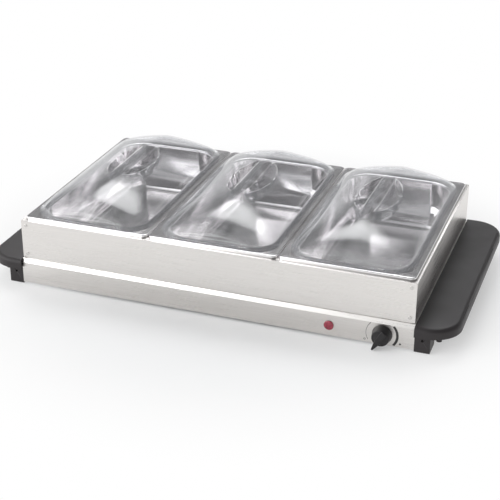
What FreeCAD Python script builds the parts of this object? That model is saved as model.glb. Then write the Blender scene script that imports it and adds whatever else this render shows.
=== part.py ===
"""Three-pan electric buffet server: a heated base, a lift-off pan frame, three pans and three lids.

+X runs to the right along the row of pans, the controls face -Y and +Z is up. The origin is on the
surface the server stands on, under the middle of its bounding box. All sizes are millimetres.
"""
import FreeCAD
import Part
import math
import os
import Sketcher

SIZES = {
    # how far a cut runs past the surface that it opens
    "overcut": 1.0,
    # heated base
    "base_length": 527.0,
    "base_width": 324.5,
    "base_clearance": 3.0,
    "panel_height": 28.2,
    "bevel_rise": 5.3,
    "bevel_run": 3.0,
    "sheet": 0.8,
    "lip_width": 10.0,
    "cover_gap": 0.4,
    "cover_recess": 0.2,
    "vent_width": 4.0,
    "vent_length": 40.0,
    # warming plate with its sunk well
    "plate_sheet": 0.8,
    "plate_inset": 0.6,
    "plate_corner": 3.0,
    "mouth_clearance": 0.5,
    "well_end_margin": 19.5,
    "well_side_margin": 23.25,
    "well_corner": 18.0,
    "well_fold": 4.0,
    # lift-off frame
    "frame_end_inset": 1.0,
    "frame_side_inset": 0.05,
    "frame_height": 53.0,
    "frame_sheet": 0.8,
    "frame_top_flange": 12.0,
    "frame_foot_flange": 8.0,
    "frame_tab": 14.0,
    "crossbar_width": 22.0,
    "crossbar_depth": 7.0,
    "tongue": 8.0,
    "lift_gap": 0.3,
    "rivet_head": 4.6,
    "rivet_rise": 0.7,
    "rivet_shank": 2.4,
    "rivet_tail": 3.6,
    "rivet_edge": 6.5,
    "rivet_gap": 0.1,
    "panel_gap": 0.1,
    # food pans
    "row_margin": 3.0,
    "pan_gap": 1.0,
    "pan_end_margin": 4.7,
    "pan_clearance": 4.0,
    "pan_corner": 7.0,
    "pan_sheet": 0.8,
    "rim_drop": 3.7,
    "rim_side": 16.0,
    "rim_end": 14.5,
    "mouth_corner": 31.0,
    "shoulder_depth": 39.0,
    "shoulder_drop": 7.0,
    "shoulder_step": 4.4,
    "wall_draft": 0.8,
    "foot_draft": 2.6,
    "pan_floor_round": 7.0,
    "mouth_round": 2.0,
    "rim_round": 1.4,
    # clear lids
    "lid_lap_side": 9.0,
    "lid_lap_end": 10.5,
    "lid_land": 5.0,
    "lid_corner": 34.0,
    "lid_wall": 2.0,
    "lid_rise": 35.0,
    "lid_brim": 2.6,
    "dome_foot": 2.0,
    "cup_width": 57.0,
    "cup_length": 119.0,
    "cup_depth": 16.0,
    "grip_width": 17.0,
    "cup_taper": 3.0,
    "cup_headroom": 5.0,
    # end handles with the feet
    "handle_reach": 51.5,
    "handle_overhang": 5.75,
    "handle_corner": 38.0,
    "handle_wall": 3.0,
    "lip_height": 13.0,
    "handle_round": 6.0,
    "foot_length": 19.5,
    "foot_depth": 26.0,
    "rib_thickness": 2.5,
    "rib_height": 7.0,
    "grip_span": 170.0,
    "screw_foot_gap": 26.25,
    "boss_diameter": 7.0,
    "boss_gap": 8.0,
    "boss_level": 14.0,
    "blind_hole": 3.2,
    # rubber foot pads
    "pad_diameter": 14.0,
    "pad_height": 3.0,
    "pad_proud": 1.0,
    # control knob and thermostat
    "knob_inset": 39.5,
    "control_drop": 0.1,
    "knob_diameter": 25.2,
    "knob_projection": 15.0,
    "knob_gap": 0.6,
    "knob_draft": 2.0,
    "knob_round": 1.5,
    "bar_rise": 3.0,
    "bar_setback": 0.6,
    "bar_round": 0.8,
    "pointer_reach": 18.0,
    "pointer_width": 7.0,
    "pointer_angle": 210.0,
    "shaft_diameter": 6.0,
    "shaft_clearance": 0.05,
    "shaft_flat": 1.4,
    "shaft_depth": 8.0,
    "shaft_cover": 4.0,
    "shaft_room": 0.5,
    "key_overlap": 0.5,
    "bush_collar": 1.2,
    "bush_diameter": 9.0,
    "bush_proud": 0.6,
    "collar_width": 2.0,
    "hole_clearance": 0.2,
    "thread_clearance": 0.05,
    "nut_across": 13.0,
    "nut_height": 2.0,
    "nut_clearance": 1.6,
    "thermostat_length": 30.0,
    "thermostat_depth": 13.0,
    "thermostat_height": 20.0,
    "thermostat_corner": 3.0,
    "channel_width": 7.0,
    "channel_depth": 2.0,
    "blade_sheet": 0.4,
    "blade_width": 1.2,
    "blade_margin": 3.0,
    "blade_setback": 1.5,
    "blade_stagger": 0.7,
    "blade_spread": 2.0,
    # indicator lamp
    "lamp_spacing": 67.0,
    "lamp_diameter": 12.6,
    "lamp_proud": 2.2,
    "lamp_barrel": 10.0,
    "lamp_depth": 9.0,
    "lamp_edge": 0.9,
    "lamp_crown": 0.2,
    "neon_diameter": 5.0,
    "neon_clearance": 0.7,
    "neon_gap": 0.6,
    "neon_taper": 2.0,
    "neon_tail": 2.0,
    "ring_width": 2.6,
    "ring_height": 1.2,
    # heater under the warming plate
    "heater_room": 18.3,
    "element_side_margin": 49.0,
    "element_end_margin": 59.0,
    "clip_setback": 75.0,
    "element_diameter": 6.5,
    "element_gap": 0.2,
    "element_tail": 22.0,
    "pin_length": 9.0,
    "pin_diameter": 3.0,
    "clip_foot": 4.0,
    "clip_sheet": 0.8,
    "clip_width": 10.0,
    "shield_sheet": 0.6,
    "shield_drop": 12.5,
    "stud_diameter": 4.0,
    "stud_gap": 4.0,
    "stud_tail": 3.4,
    "stud_proud": 0.8,
    "spacer_wall": 1.5,
    "shield_margin": 14.0,
    "shield_corner": 6.0,
    "cutout_x": -60.0,
    "cutout_diameter": 15.0,
    "cutout_height": 7.0,
    "tag_length": 6.0,
    "tag_sheet": 0.8,
    "tag_reach": 2.0,
    # mains inlet and wiring
    "inlet_inset": 58.5,
    "block_offset": 45.0,
    "inlet_bore": 7.2,
    "inlet_neck": 12.0,
    "inlet_flange": 17.0,
    "inlet_proud": 3.0,
    "inlet_lip": 0.8,
    "gland_nut": 3.0,
    "gland_tail": 1.0,
    "gland_nut_wall": 2.0,
    "block_length": 34.0,
    "block_depth": 13.0,
    "block_height": 16.0,
    "block_gap": 1.0,
    "terminal_bore": 3.6,
    "terminal_depth": 3.0,
    "wire_diameter": 2.4,
    "wire_bend": 5.0,
    "wire_margin": 8.5,
    "lamp_lead": 9.0,
    "lead_drop": 1.0,
    "earth_tag": 8.0,
    "earth_reach": 30.0,
    # screws
    "screw_diameter": 3.5,
    "screw_head": 6.5,
    "screw_head_height": 1.6,
    "screw_length": 6.0,
}

PAN_NAMES = ("left", "centre", "right")
# twelve slots in each row of vents, spread over this share of the cover
VENT_COUNT = 12
VENT_SHARE_X = 0.7
VENT_SHARE_Y = 0.4
VENT_CORNER = 0.45
# the knob's bar narrows from this share of the face's radius down to this share of its own width
BAR_TAPER_START = 0.7
BAR_TIP_WIDTH = 0.3
# points of the lens's dome, as shares of its radius and of its height
LENS_DOME = ((0.88, 0.75), (0.55, 1.0))
NEON_TIP = (0.6, 0.2)
# points of the gland's rounded flange, as shares of its height and radius
GLAND_EDGE = 0.4
GLAND_FACE = 0.75
GLAND_MOUTH = 0.7


class Size:
    """A length worked out from the sheet: its expression for the document and its present value."""

    def __init__(self, text, value):
        self.text = text
        self.value = value

    @staticmethod
    def of(item):
        return item if isinstance(item, Size) else Size(repr(float(item)), float(item))

    def __add__(self, other):
        other = Size.of(other)
        return Size(f"({self.text} + {other.text})", self.value + other.value)

    def __sub__(self, other):
        other = Size.of(other)
        return Size(f"({self.text} - {other.text})", self.value - other.value)

    def __mul__(self, other):
        other = Size.of(other)
        return Size(f"({self.text} * {other.text})", self.value * other.value)

    def __truediv__(self, other):
        other = Size.of(other)
        return Size(f"({self.text} / {other.text})", self.value / other.value)

    def __neg__(self):
        return Size(f"(0 - {self.text})", -self.value)

    def __float__(self):
        return self.value

    __radd__ = __add__
    __rmul__ = __mul__

    def __rsub__(self, other):
        return Size.of(other) - self


class Sizes:
    """Every driving dimension of the sheet, by its alias."""

    def __init__(self, sheet):
        for row, (alias, value) in enumerate(SIZES.items(), start=1):
            sheet.set(f"A{row}", alias)
            sheet.set(f"B{row}", str(value))
            sheet.setAlias(f"B{row}", alias)
            setattr(self, alias, Size(f"{sheet.Name}.{alias}", value))


doc = FreeCAD.newDocument("buffet_server")
sizes = Sizes(doc.addObject("Spreadsheet::Sheet", "Sizes"))
doc.recompute()
pieces = []


# ---------------------------------------------------------------- sizes that follow from others
half_base = sizes.base_length / 2
base_front = -sizes.base_width / 2
ledge_half_width = sizes.base_width / 2 - sizes.bevel_run
sizes.well_length = sizes.base_length - sizes.well_end_margin * 2
sizes.well_width = sizes.base_width - sizes.well_side_margin * 2
sizes.frame_length = sizes.base_length - sizes.frame_end_inset * 2
sizes.frame_width = (ledge_half_width - sizes.frame_side_inset) * 2
sizes.pan_pitch = (sizes.frame_length - sizes.row_margin * 2) / len(PAN_NAMES)
sizes.pan_width = sizes.pan_pitch - sizes.pan_gap
sizes.pan_length = sizes.frame_width - sizes.pan_end_margin * 2
sizes.mouth_width = sizes.pan_width - sizes.rim_side * 2
sizes.mouth_length = sizes.pan_length - sizes.rim_end * 2
sizes.lid_width = sizes.mouth_width + sizes.lid_lap_side * 2
sizes.lid_length = sizes.mouth_length + sizes.lid_lap_end * 2
sizes.dome_width = sizes.lid_width - sizes.lid_land * 2
sizes.dome_length = sizes.lid_length - sizes.lid_land * 2
sizes.handle_width = sizes.base_width + sizes.handle_overhang * 2
sizes.element_pitch = (sizes.well_width - sizes.element_side_margin * 2) / 3
sizes.element_reach = sizes.well_length / 2 - sizes.element_end_margin
sizes.clip_reach = sizes.element_reach - sizes.clip_setback
# the studs stand midway between the outer and the inner legs of the element
sizes.stud_y = sizes.element_pitch

# ---------------------------------------------------------------- levels and places
panel_top = sizes.base_clearance + sizes.panel_height
ledge_top = panel_top + sizes.bevel_rise
plate_top = ledge_top + sizes.plate_sheet
frame_bottom = plate_top + sizes.lift_gap
frame_top = frame_bottom + sizes.frame_height
rim_top = frame_top + sizes.lift_gap + sizes.rim_drop
lid_seat = rim_top + sizes.lift_gap
cover_bottom = sizes.base_clearance + sizes.cover_recess
lip_bottom = cover_bottom + sizes.sheet
well_floor = lip_bottom + sizes.heater_room
sizes.well_depth = plate_top - well_floor
sizes.pan_depth = rim_top - well_floor - sizes.pan_sheet - sizes.pan_clearance
half_frame = sizes.frame_length / 2
block_low = lip_bottom + sizes.sheet
block_rear = sizes.base_width / 2 - sizes.sheet - sizes.block_gap
element_level = well_floor - sizes.plate_sheet - sizes.element_gap - sizes.element_diameter / 2
shield_level = well_floor - sizes.shield_drop
sizes.control_height = sizes.base_clearance + sizes.panel_height / 2 - sizes.control_drop
sizes.knob_x = half_base - sizes.knob_inset
sizes.lamp_x = sizes.knob_x - sizes.lamp_spacing
sizes.inlet_x = half_base - sizes.inlet_inset
sizes.block_x = sizes.inlet_x - sizes.block_offset
# the origin is under the middle of the bounding box, which the knob stretches towards the front
origin_shift = (sizes.base_width / 2 + sizes.knob_projection - sizes.handle_width / 2) / 2
# the studs clear the ends of the element's bends
spacer_diameter = sizes.stud_diameter + sizes.spacer_wall * 2
stud_x = (sizes.element_reach + sizes.element_pitch / 2 + sizes.element_diameter / 2
          + spacer_diameter / 2 + sizes.stud_gap)
FRONT_TURN = FreeCAD.Rotation(FreeCAD.Vector(1, 0, 0), 90)
REAR_TURN = FreeCAD.Rotation(FreeCAD.Vector(1, 0, 0), -90)
RIGHT_TURN = FreeCAD.Rotation(FreeCAD.Vector(0, 1, 0), 90)
ORIGIN = FreeCAD.Vector(0, 0, 0)


# ---------------------------------------------------------------- tools for every sub-part
def finish(item, label, x=0.0, y=0.0, z=0.0, rotation=None):
    """Name a finished sub-part, and place it: its own place, then the shift to the object's frame."""
    item.Label = label
    if rotation:
        item.Placement = FreeCAD.Placement(ORIGIN, rotation)
    bind(item, Base_x=x, Base_y=origin_shift + y, Base_z=z)
    pieces.append(item)
    return item


def bind(item, **properties):
    """Drive an object's properties from the sheet; Base_x means Placement.Base.x."""
    for name, size in properties.items():
        path = "Placement.Base." + name[-1] if name.startswith("Base_") else name
        item.setExpression(path, Size.of(size).text)
    return item


def new_body(name):
    return doc.addObject("PartDesign::Body", name + "_body")


def new_sketch(body, plane, level=0.0, name="Outline"):
    """Add a sketch on one of the body's origin planes, moved along that plane's normal."""
    sketch = body.newObject("Sketcher::SketchObject", name)
    support = [item for item in body.Origin.OriginFeatures if item.Role == plane + "_Plane"][0]
    sketch.AttachmentSupport = (support, [""])
    sketch.MapMode = "FlatFace"
    sketch.setExpression("AttachmentOffset.Base.z", Size.of(level).text)
    return sketch


def drive(sketch, kind, size, *where):
    """Add one dimension to a sketch, bound to its size."""
    size = Size.of(size)
    index = sketch.addConstraint(Sketcher.Constraint(kind, *where, size.value))
    sketch.setExpression(f"Constraints[{index}]", size.text)


def polygon(sketch, corners):
    """Draw a closed outline through corners, each held at its own distance from the origin."""
    corners = [(Size.of(across), Size.of(up)) for across, up in corners]
    start = len(sketch.Geometry)
    points = [FreeCAD.Vector(across.value, up.value, 0) for across, up in corners]
    count = len(points)
    for index, point in enumerate(points):
        sketch.addGeometry(Part.LineSegment(point, points[(index + 1) % count]))
    for index, (across, up) in enumerate(corners):
        following = start + (index + 1) % count
        sketch.addConstraint(Sketcher.Constraint("Coincident", start + index, 2, following, 1))
        drive(sketch, "DistanceX", across, -1, 1, start + index, 1)
        drive(sketch, "DistanceY", up, -1, 1, start + index, 1)
    return sketch


def rectangle(sketch, left, right, low, high):
    return polygon(sketch, [(left, low), (right, low), (right, high), (left, high)])


def rounded_rectangle(sketch, width, height, corner, middle_x=0.0, middle_y=0.0):
    """Draw a rectangle with round corners about a middle point."""
    width, height, corner = Size.of(width), Size.of(height), Size.of(corner)
    middle_x, middle_y = Size.of(middle_x), Size.of(middle_y)
    start = len(sketch.Geometry)
    radius = corner.value
    half_w, half_h = width.value / 2 - radius, height.value / 2 - radius
    centre = FreeCAD.Vector(middle_x.value, middle_y.value, 0)
    up = FreeCAD.Vector(0, 0, 1)
    for quarter, (side_x, side_y) in enumerate(((1, -1), (1, 1), (-1, 1), (-1, -1))):
        middle = centre + FreeCAD.Vector(side_x * half_w, side_y * half_h, 0)
        begin = math.radians(90 * quarter - 90)
        arc = Part.ArcOfCircle(Part.Circle(middle, up, radius), begin, begin + math.pi / 2)
        sketch.addGeometry(arc)
    arcs = [sketch.Geometry[start + quarter] for quarter in range(4)]
    for quarter in range(4):
        line = Part.LineSegment(arcs[quarter].EndPoint, arcs[(quarter + 1) % 4].StartPoint)
        sketch.addGeometry(line)
    for quarter in range(4):
        line = start + 4 + quarter
        sketch.addConstraint(Sketcher.Constraint("Tangent", start + quarter, 2, line, 1))
        sketch.addConstraint(Sketcher.Constraint("Tangent", line, 2, start + (quarter + 1) % 4, 1))
        sketch.addConstraint(Sketcher.Constraint("Vertical" if quarter % 2 == 0 else "Horizontal", line))
    for quarter in (1, 2, 3):
        sketch.addConstraint(Sketcher.Constraint("Equal", start, start + quarter))
    drive(sketch, "Radius", corner, start)
    drive(sketch, "DistanceX", middle_x + width / 2, -1, 1, start + 4, 1)
    drive(sketch, "DistanceX", middle_x - width / 2, -1, 1, start + 6, 1)
    drive(sketch, "DistanceY", middle_y + height / 2, -1, 1, start + 5, 1)
    drive(sketch, "DistanceY", middle_y - height / 2, -1, 1, start + 7, 1)
    return sketch


def circle(sketch, radius, across=0.0, up=0.0):
    across, up, radius = Size.of(across), Size.of(up), Size.of(radius)
    index = len(sketch.Geometry)
    centre = FreeCAD.Vector(across.value, up.value, 0)
    sketch.addGeometry(Part.Circle(centre, FreeCAD.Vector(0, 0, 1), radius.value))
    drive(sketch, "Radius", radius, index)
    drive(sketch, "DistanceX", across, -1, 1, index, 3)
    drive(sketch, "DistanceY", up, -1, 1, index, 3)
    return sketch


def pad(body, sketch, length, both_ways=False, reverse=False):
    """Raise a sketch along its normal, and check that the body grew."""
    before = body.Shape.Volume if body.Tip else 0.0
    feature = body.newObject("PartDesign::Pad", "Pad")
    feature.Profile = sketch
    feature.setExpression("Length", Size.of(length).text)
    feature.SideType = "Symmetric" if both_ways else "One side"
    feature.Reversed = reverse
    doc.recompute()
    if feature.Shape.Volume <= before:
        raise ValueError(f"{body.Name}: a pad added nothing")
    return feature


def pocket(body, sketch, depth, both_ways=False, reverse=False):
    """Cut a sketch into its body against its normal, and check that the body shrank."""
    before = body.Tip.Shape.Volume
    feature = body.newObject("PartDesign::Pocket", "Pocket")
    feature.Profile = sketch
    feature.setExpression("Length", Size.of(depth).text)
    feature.SideType = "Symmetric" if both_ways else "One side"
    feature.Reversed = reverse
    doc.recompute()
    if feature.Shape.Volume >= before:
        raise ValueError(f"{body.Name}: a pocket cut nothing")
    return feature


def loft(body, sections, remove=False):
    """Join sketches at rising levels with straight-sided walls, as solid or as hollow."""
    kind = "PartDesign::SubtractiveLoft" if remove else "PartDesign::AdditiveLoft"
    feature = body.newObject(kind, "Loft")
    feature.Profile = sections[0]
    feature.Sections = sections[1:]
    feature.Ruled = True
    doc.recompute()
    return feature


def revolve(body, sketch):
    """Turn a sketch once about its own vertical axis."""
    feature = body.newObject("PartDesign::Revolution", "Revolution")
    feature.Profile = sketch
    feature.ReferenceAxis = (sketch, ["V_Axis"])
    feature.Angle = 360
    doc.recompute()
    return feature


def round_edges(body, radius, wanted):
    """Fillet the edges of the body that a test picks out by their place."""
    base = body.Tip
    names = [f"Edge{index}" for index, edge in enumerate(base.Shape.Edges, start=1) if wanted(edge)]
    if not names:
        raise ValueError(f"{body.Name}: no edge to round")
    feature = body.newObject("PartDesign::Fillet", "Fillet")
    feature.Base = (base, names)
    feature.setExpression("Radius", Size.of(radius).text)
    doc.recompute()
    return feature


def at_level(level):
    """A test for edges that lie flat at one height."""
    def wanted(edge):
        bounds = edge.BoundBox
        return max(abs(bounds.ZMin - level.value), abs(bounds.ZMax - level.value)) < 1e-4
    return wanted


def box(name, length, width, height, x, y, z):
    """A Part::Box whose sizes and low corner are bound to the sheet."""
    item = doc.addObject("Part::Box", name)
    return bind(item, Length=length, Width=width, Height=height, Base_x=x, Base_y=y, Base_z=z)


def rod(name, diameter, length, x, y, z, rotation=None):
    """A Part::Cylinder bound to the sheet, standing on its low end unless it is turned."""
    item = doc.addObject("Part::Cylinder", name)
    if rotation:
        item.Placement = FreeCAD.Placement(ORIGIN, rotation)
    return bind(item, Radius=Size.of(diameter) / 2, Height=length, Base_x=x, Base_y=y, Base_z=z)


def fuse(name, shapes):
    item = doc.addObject("Part::MultiFuse", name)
    item.Shapes = shapes
    item.Refine = True
    return item


def cut(name, base, tool):
    item = doc.addObject("Part::Cut", name)
    item.Base = base
    item.Tool = tool
    return item


def group(name, members):
    """Separate solids of one kind that share a node."""
    item = doc.addObject("Part::Compound", name + "_group")
    item.Links = members
    return finish(item, name)


def screw(name, x, y, z, rotation=None):
    """A pan-head screw whose head starts at a place and whose shank follows its axis."""
    step = FreeCAD.Vector(0, 0, 1)
    direction = rotation.multVec(step) if rotation else step
    height = sizes.screw_head_height
    head = rod(name + "_head", sizes.screw_head, height, x, y, z, rotation)
    start = [Size.of(place) + height * round(part) for place, part in zip((x, y, z), direction)]
    shank = rod(name + "_shank", sizes.screw_diameter, sizes.screw_length, *start, rotation)
    return fuse(name, [head, shank])


# ---------------------------------------------------------------- heated base
def make_base_housing():
    """One folded sheet: front and rear panels, bevels, ledge, end walls and lips for the cover."""
    body = new_body("base_housing")
    half_width = sizes.base_width / 2
    outline = new_sketch(body, "YZ")
    polygon(outline, [
        (-half_width, sizes.base_clearance), (half_width, sizes.base_clearance),
        (half_width, panel_top), (ledge_half_width, ledge_top),
        (-ledge_half_width, ledge_top), (-half_width, panel_top)])
    pad(body, outline, sizes.base_length, both_ways=True)
    inner = half_width - sizes.sheet
    inner_ledge = ledge_half_width - sizes.sheet
    hollow = new_sketch(body, "YZ", name="Hollow")
    polygon(hollow, [
        (-inner, lip_bottom + sizes.sheet), (inner, lip_bottom + sizes.sheet),
        (inner, panel_top - sizes.sheet / 2), (inner_ledge, ledge_top - sizes.sheet),
        (-inner_ledge, ledge_top - sizes.sheet), (-inner, panel_top - sizes.sheet / 2)])
    inner_length = sizes.base_length - sizes.sheet * 2
    pocket(body, hollow, inner_length, both_ways=True)
    seat = new_sketch(body, "XY", lip_bottom, "CoverSeat")
    rectangle(seat, -inner_length / 2, inner_length / 2, -inner, inner)
    pocket(body, seat, lip_bottom - sizes.base_clearance + sizes.overcut)
    opening = new_sketch(body, "XY", lip_bottom + sizes.sheet, "CoverOpening")
    half_opening = inner_length / 2 - sizes.lip_width
    rectangle(opening, -half_opening, half_opening, -inner + sizes.lip_width, inner - sizes.lip_width)
    pocket(body, opening, sizes.sheet + sizes.overcut)
    threads = new_sketch(body, "XY", lip_bottom, "CoverScrewHoles")
    for x, y in cover_screw_places():
        circle(threads, sizes.screw_diameter / 2 + sizes.thread_clearance, x, y)
    pocket(body, threads, sizes.sheet + sizes.overcut, reverse=True)
    mouth = new_sketch(body, "XY", ledge_top, "WellMouth")
    clear = sizes.mouth_clearance
    rounded_rectangle(mouth, sizes.well_length + clear * 2, sizes.well_width + clear * 2,
                      sizes.well_corner + clear)
    pocket(body, mouth, sizes.sheet + sizes.overcut)
    # the XZ plane's normal points to the front, so the front panel is at a positive level
    controls = new_sketch(body, "XZ", half_width, "ControlHoles")
    circle(controls, sizes.bush_diameter / 2 + sizes.hole_clearance, sizes.knob_x, sizes.control_height)
    circle(controls, sizes.lamp_barrel / 2 + sizes.hole_clearance, sizes.lamp_x, sizes.control_height)
    pocket(body, controls, sizes.sheet + sizes.overcut)
    ends = new_sketch(body, "YZ", name="HandleScrewHoles")
    for y in handle_screw_places():
        circle(ends, sizes.screw_diameter / 2 + sizes.hole_clearance, y, sizes.control_height)
    pocket(body, ends, sizes.base_length + sizes.overcut * 2, both_ways=True)
    inlet = new_sketch(body, "XZ", -half_width, "InletHole")
    circle(inlet, sizes.inlet_neck / 2 + sizes.hole_clearance, sizes.inlet_x, sizes.control_height)
    pocket(body, inlet, sizes.sheet + sizes.overcut, reverse=True)
    finish(body, "base_housing")


def make_warming_plate():
    """Pressed plate: a flat flange on the ledge around the sunk well that warms the pans."""
    body = new_body("warming_plate")
    flange = new_sketch(body, "XY", ledge_top)
    length = sizes.base_length - (sizes.bevel_run + sizes.plate_inset) * 2
    width = (ledge_half_width - sizes.plate_inset) * 2
    rounded_rectangle(flange, length, width, sizes.plate_corner)
    pad(body, flange, sizes.plate_sheet)
    mouth = new_sketch(body, "XY", plate_top, "Mouth")
    thick = sizes.plate_sheet
    hollow_length = sizes.well_length - thick * 2
    hollow_width = sizes.well_width - thick * 2
    hollow_corner = sizes.well_corner - thick
    rounded_rectangle(mouth, hollow_length, hollow_width, hollow_corner)
    pocket(body, mouth, thick + sizes.overcut)
    rim = new_sketch(body, "XY", plate_top, "WellOutside")
    rounded_rectangle(rim, sizes.well_length, sizes.well_width, sizes.well_corner)
    rounded_rectangle(rim, hollow_length, hollow_width, hollow_corner)
    pad(body, rim, sizes.well_depth, reverse=True)
    floor = new_sketch(body, "XY", well_floor, "WellFloor")
    rounded_rectangle(floor, sizes.well_length, sizes.well_width, sizes.well_corner)
    pad(body, floor, thick, reverse=True)
    round_edges(body, sizes.well_fold, at_level(well_floor - thick))
    round_edges(body, sizes.well_fold - thick, at_level(well_floor))
    finish(body, "warming_plate")


def make_bottom_cover():
    """Flat cover inside the panels, with two rows of vent slots under the heater."""
    body = new_body("bottom_cover")
    half_length = half_base - sizes.sheet - sizes.cover_gap
    half_width = sizes.base_width / 2 - sizes.sheet - sizes.cover_gap
    plate = new_sketch(body, "XY", cover_bottom)
    rectangle(plate, -half_length, half_length, -half_width, half_width)
    pad(body, plate, sizes.sheet)
    slot = new_sketch(body, "XY", cover_bottom, "VentSlot")
    corner = sizes.vent_width * VENT_CORNER
    first_x = -half_length * VENT_SHARE_X
    for side in (-1, 1):
        row_y = half_width * VENT_SHARE_Y * side
        rounded_rectangle(slot, sizes.vent_width, sizes.vent_length, corner, first_x, row_y)
    slots = pocket(body, slot, sizes.sheet + sizes.overcut, reverse=True)
    pattern = body.newObject("PartDesign::LinearPattern", "Vents")
    pattern.Originals = [slots]
    pattern.Direction = (slot, ["H_Axis"])
    pattern.setExpression("Length", (first_x * -2).text)
    pattern.Occurrences = VENT_COUNT
    body.Tip = pattern
    doc.recompute()
    holes = new_sketch(body, "XY", cover_bottom, "ScrewHoles")
    for x, y in cover_screw_places():
        circle(holes, sizes.screw_diameter / 2 + sizes.hole_clearance, x, y)
    pocket(body, holes, sizes.sheet + sizes.overcut, reverse=True)
    finish(body, "bottom_cover")


def cover_screw_places():
    """Eight places along the middle of the housing's lips."""
    y = sizes.base_width / 2 - sizes.sheet - sizes.lip_width / 2
    reach = half_base - sizes.lip_width * 1.5
    return [(reach * share, y * side) for share in (-1, -1 / 3, 1 / 3, 1) for side in (-1, 1)]


def handle_screw_places():
    """Three places along each end wall, the outer ones clear of the feet."""
    reach = sizes.base_width / 2 - sizes.foot_depth - sizes.screw_foot_gap
    return [reach * share for share in (-1, 0, 1)]


def make_cover_screws():
    screws = []
    for index, (x, y) in enumerate(cover_screw_places()):
        z = cover_bottom - sizes.screw_head_height
        screws.append(screw(f"cover_screw_{index}", x, y, z))
    group("bottom_cover_screws", screws)


# ---------------------------------------------------------------- end handles, feet and pads
def make_handle(side, name):
    """One moulding: carrying plate with a turned-down lip, end wall, two feet, ribs and bosses."""
    body = new_body(name)
    wall = sizes.handle_wall
    inner = half_base * side
    outer = (half_base + sizes.handle_reach) * side
    underside = ledge_top - wall
    low_edge = ledge_top - sizes.lip_height
    # the round-cornered plate starts inside the housing's outline and is then cut off square
    length = sizes.handle_reach + sizes.handle_corner
    middle = outer - length / 2 * side
    plate = new_sketch(body, "XY", low_edge, "Plate")
    rounded_rectangle(plate, length, sizes.handle_width, sizes.handle_corner, middle)
    pad(body, plate, sizes.lip_height)
    round_edges(body, sizes.handle_round, at_level(ledge_top))
    hollow = new_sketch(body, "XY", low_edge, "Underside")
    inner_corner = sizes.handle_corner - wall
    rounded_rectangle(hollow, length - wall * 2, sizes.handle_width - wall * 2, inner_corner, middle)
    pocket(body, hollow, sizes.lip_height - wall, reverse=True)
    trim = new_sketch(body, "XY", ledge_top + sizes.overcut, "HousingSide")
    half_trim = sizes.handle_width / 2 + sizes.overcut
    span_x(trim, inner - (sizes.handle_corner + sizes.overcut) * side, inner, -half_trim, half_trim)
    pocket(body, trim, sizes.lip_height + sizes.overcut * 2)
    rise = underside + wall / 2 - sizes.pad_proud
    end_wall = new_sketch(body, "XY", sizes.pad_proud, "EndWall")
    half_wall = sizes.base_width / 2 - sizes.foot_depth / 2
    span_x(end_wall, inner, inner + wall * side, -half_wall, half_wall)
    pad(body, end_wall, rise)
    feet = new_sketch(body, "XY", sizes.pad_proud, "Feet")
    far = sizes.base_width / 2
    near = far - sizes.foot_depth
    span_x(feet, inner, inner + sizes.foot_length * side, -far, -near)
    span_x(feet, inner, inner + sizes.foot_length * side, near, far)
    pad(body, feet, rise)
    ribs = new_sketch(body, "XY", underside + wall / 2, "Ribs")
    half_rib = sizes.rib_thickness / 2
    for middle_y in (-sizes.grip_span / 2, sizes.grip_span / 2):
        low, high = middle_y - half_rib, middle_y + half_rib
        span_x(ribs, inner + wall / 2 * side, outer - wall / 2 * side, low, high)
    pad(body, ribs, sizes.rib_height + wall / 2, reverse=True)
    bosses = new_sketch(body, "XY", underside + wall / 2, "Bosses")
    boss_x = inner + (sizes.foot_length + sizes.boss_gap) * side
    for end in (-1, 1):
        circle(bosses, sizes.boss_diameter / 2, boss_x, (far - sizes.foot_depth / 2) * end)
    pad(body, bosses, underside + wall / 2 - sizes.boss_level, reverse=True)
    seats = new_sketch(body, "XY", sizes.pad_proud, "PadSeats")
    for x, y in pad_places(side):
        circle(seats, sizes.pad_diameter / 2 + sizes.hole_clearance / 2, x, y)
    pocket(body, seats, sizes.pad_height - sizes.pad_proud, reverse=True)
    for end in (-1, 1):
        mark = new_sketch(body, "XZ", -far * end, "BlindHole")
        circle(mark, sizes.blind_hole / 2, inner + sizes.foot_length / 2 * side, sizes.control_height)
        pocket(body, mark, sizes.blind_hole, reverse=end > 0)
    screws = new_sketch(body, "YZ", name="ScrewHoles")
    for y in handle_screw_places():
        circle(screws, sizes.screw_diameter / 2 + sizes.hole_clearance, y, sizes.control_height)
    pocket(body, screws, sizes.base_length + (wall + sizes.overcut) * 2, both_ways=True)
    finish(body, name)


def span_x(sketch, start, end, low, high):
    """A rectangle between two places along X, given in either order."""
    left, right = sorted((start, end), key=float)
    return rectangle(sketch, left, right, low, high)


def pad_places(side):
    """The middles of the front and rear foot on one side."""
    x = (half_base + sizes.foot_length / 2) * side
    y = (sizes.base_width - sizes.foot_depth) / 2
    return [(x, -y), (x, y)]


def make_foot_pads():
    for side, side_name in ((-1, "left"), (1, "right")):
        for (x, y), end_name in zip(pad_places(side), ("front", "rear")):
            name = f"foot_pad_{end_name}_{side_name}"
            body = new_body(name)
            disc = new_sketch(body, "XY")
            circle(disc, sizes.pad_diameter / 2)
            pad(body, disc, sizes.pad_height)
            round_edges(body, sizes.pad_proud / 2, at_level(Size.of(0)))
            finish(body, name, x, y)


def make_handle_screws():
    """Screws that hold each moulding to the housing's end wall, heads towards the fingers."""
    screws = []
    for side in (-1, 1):
        turn = FreeCAD.Rotation(FreeCAD.Vector(0, 1, 0), -90 * side)
        x = (half_base + sizes.handle_wall + sizes.screw_head_height) * side
        for index, y in enumerate(handle_screw_places()):
            name = f"handle_screw_{'left' if side < 0 else 'right'}_{index}"
            screws.append(screw(name, x, y, sizes.control_height, turn))
    group("handle_screws", screws)


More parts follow.
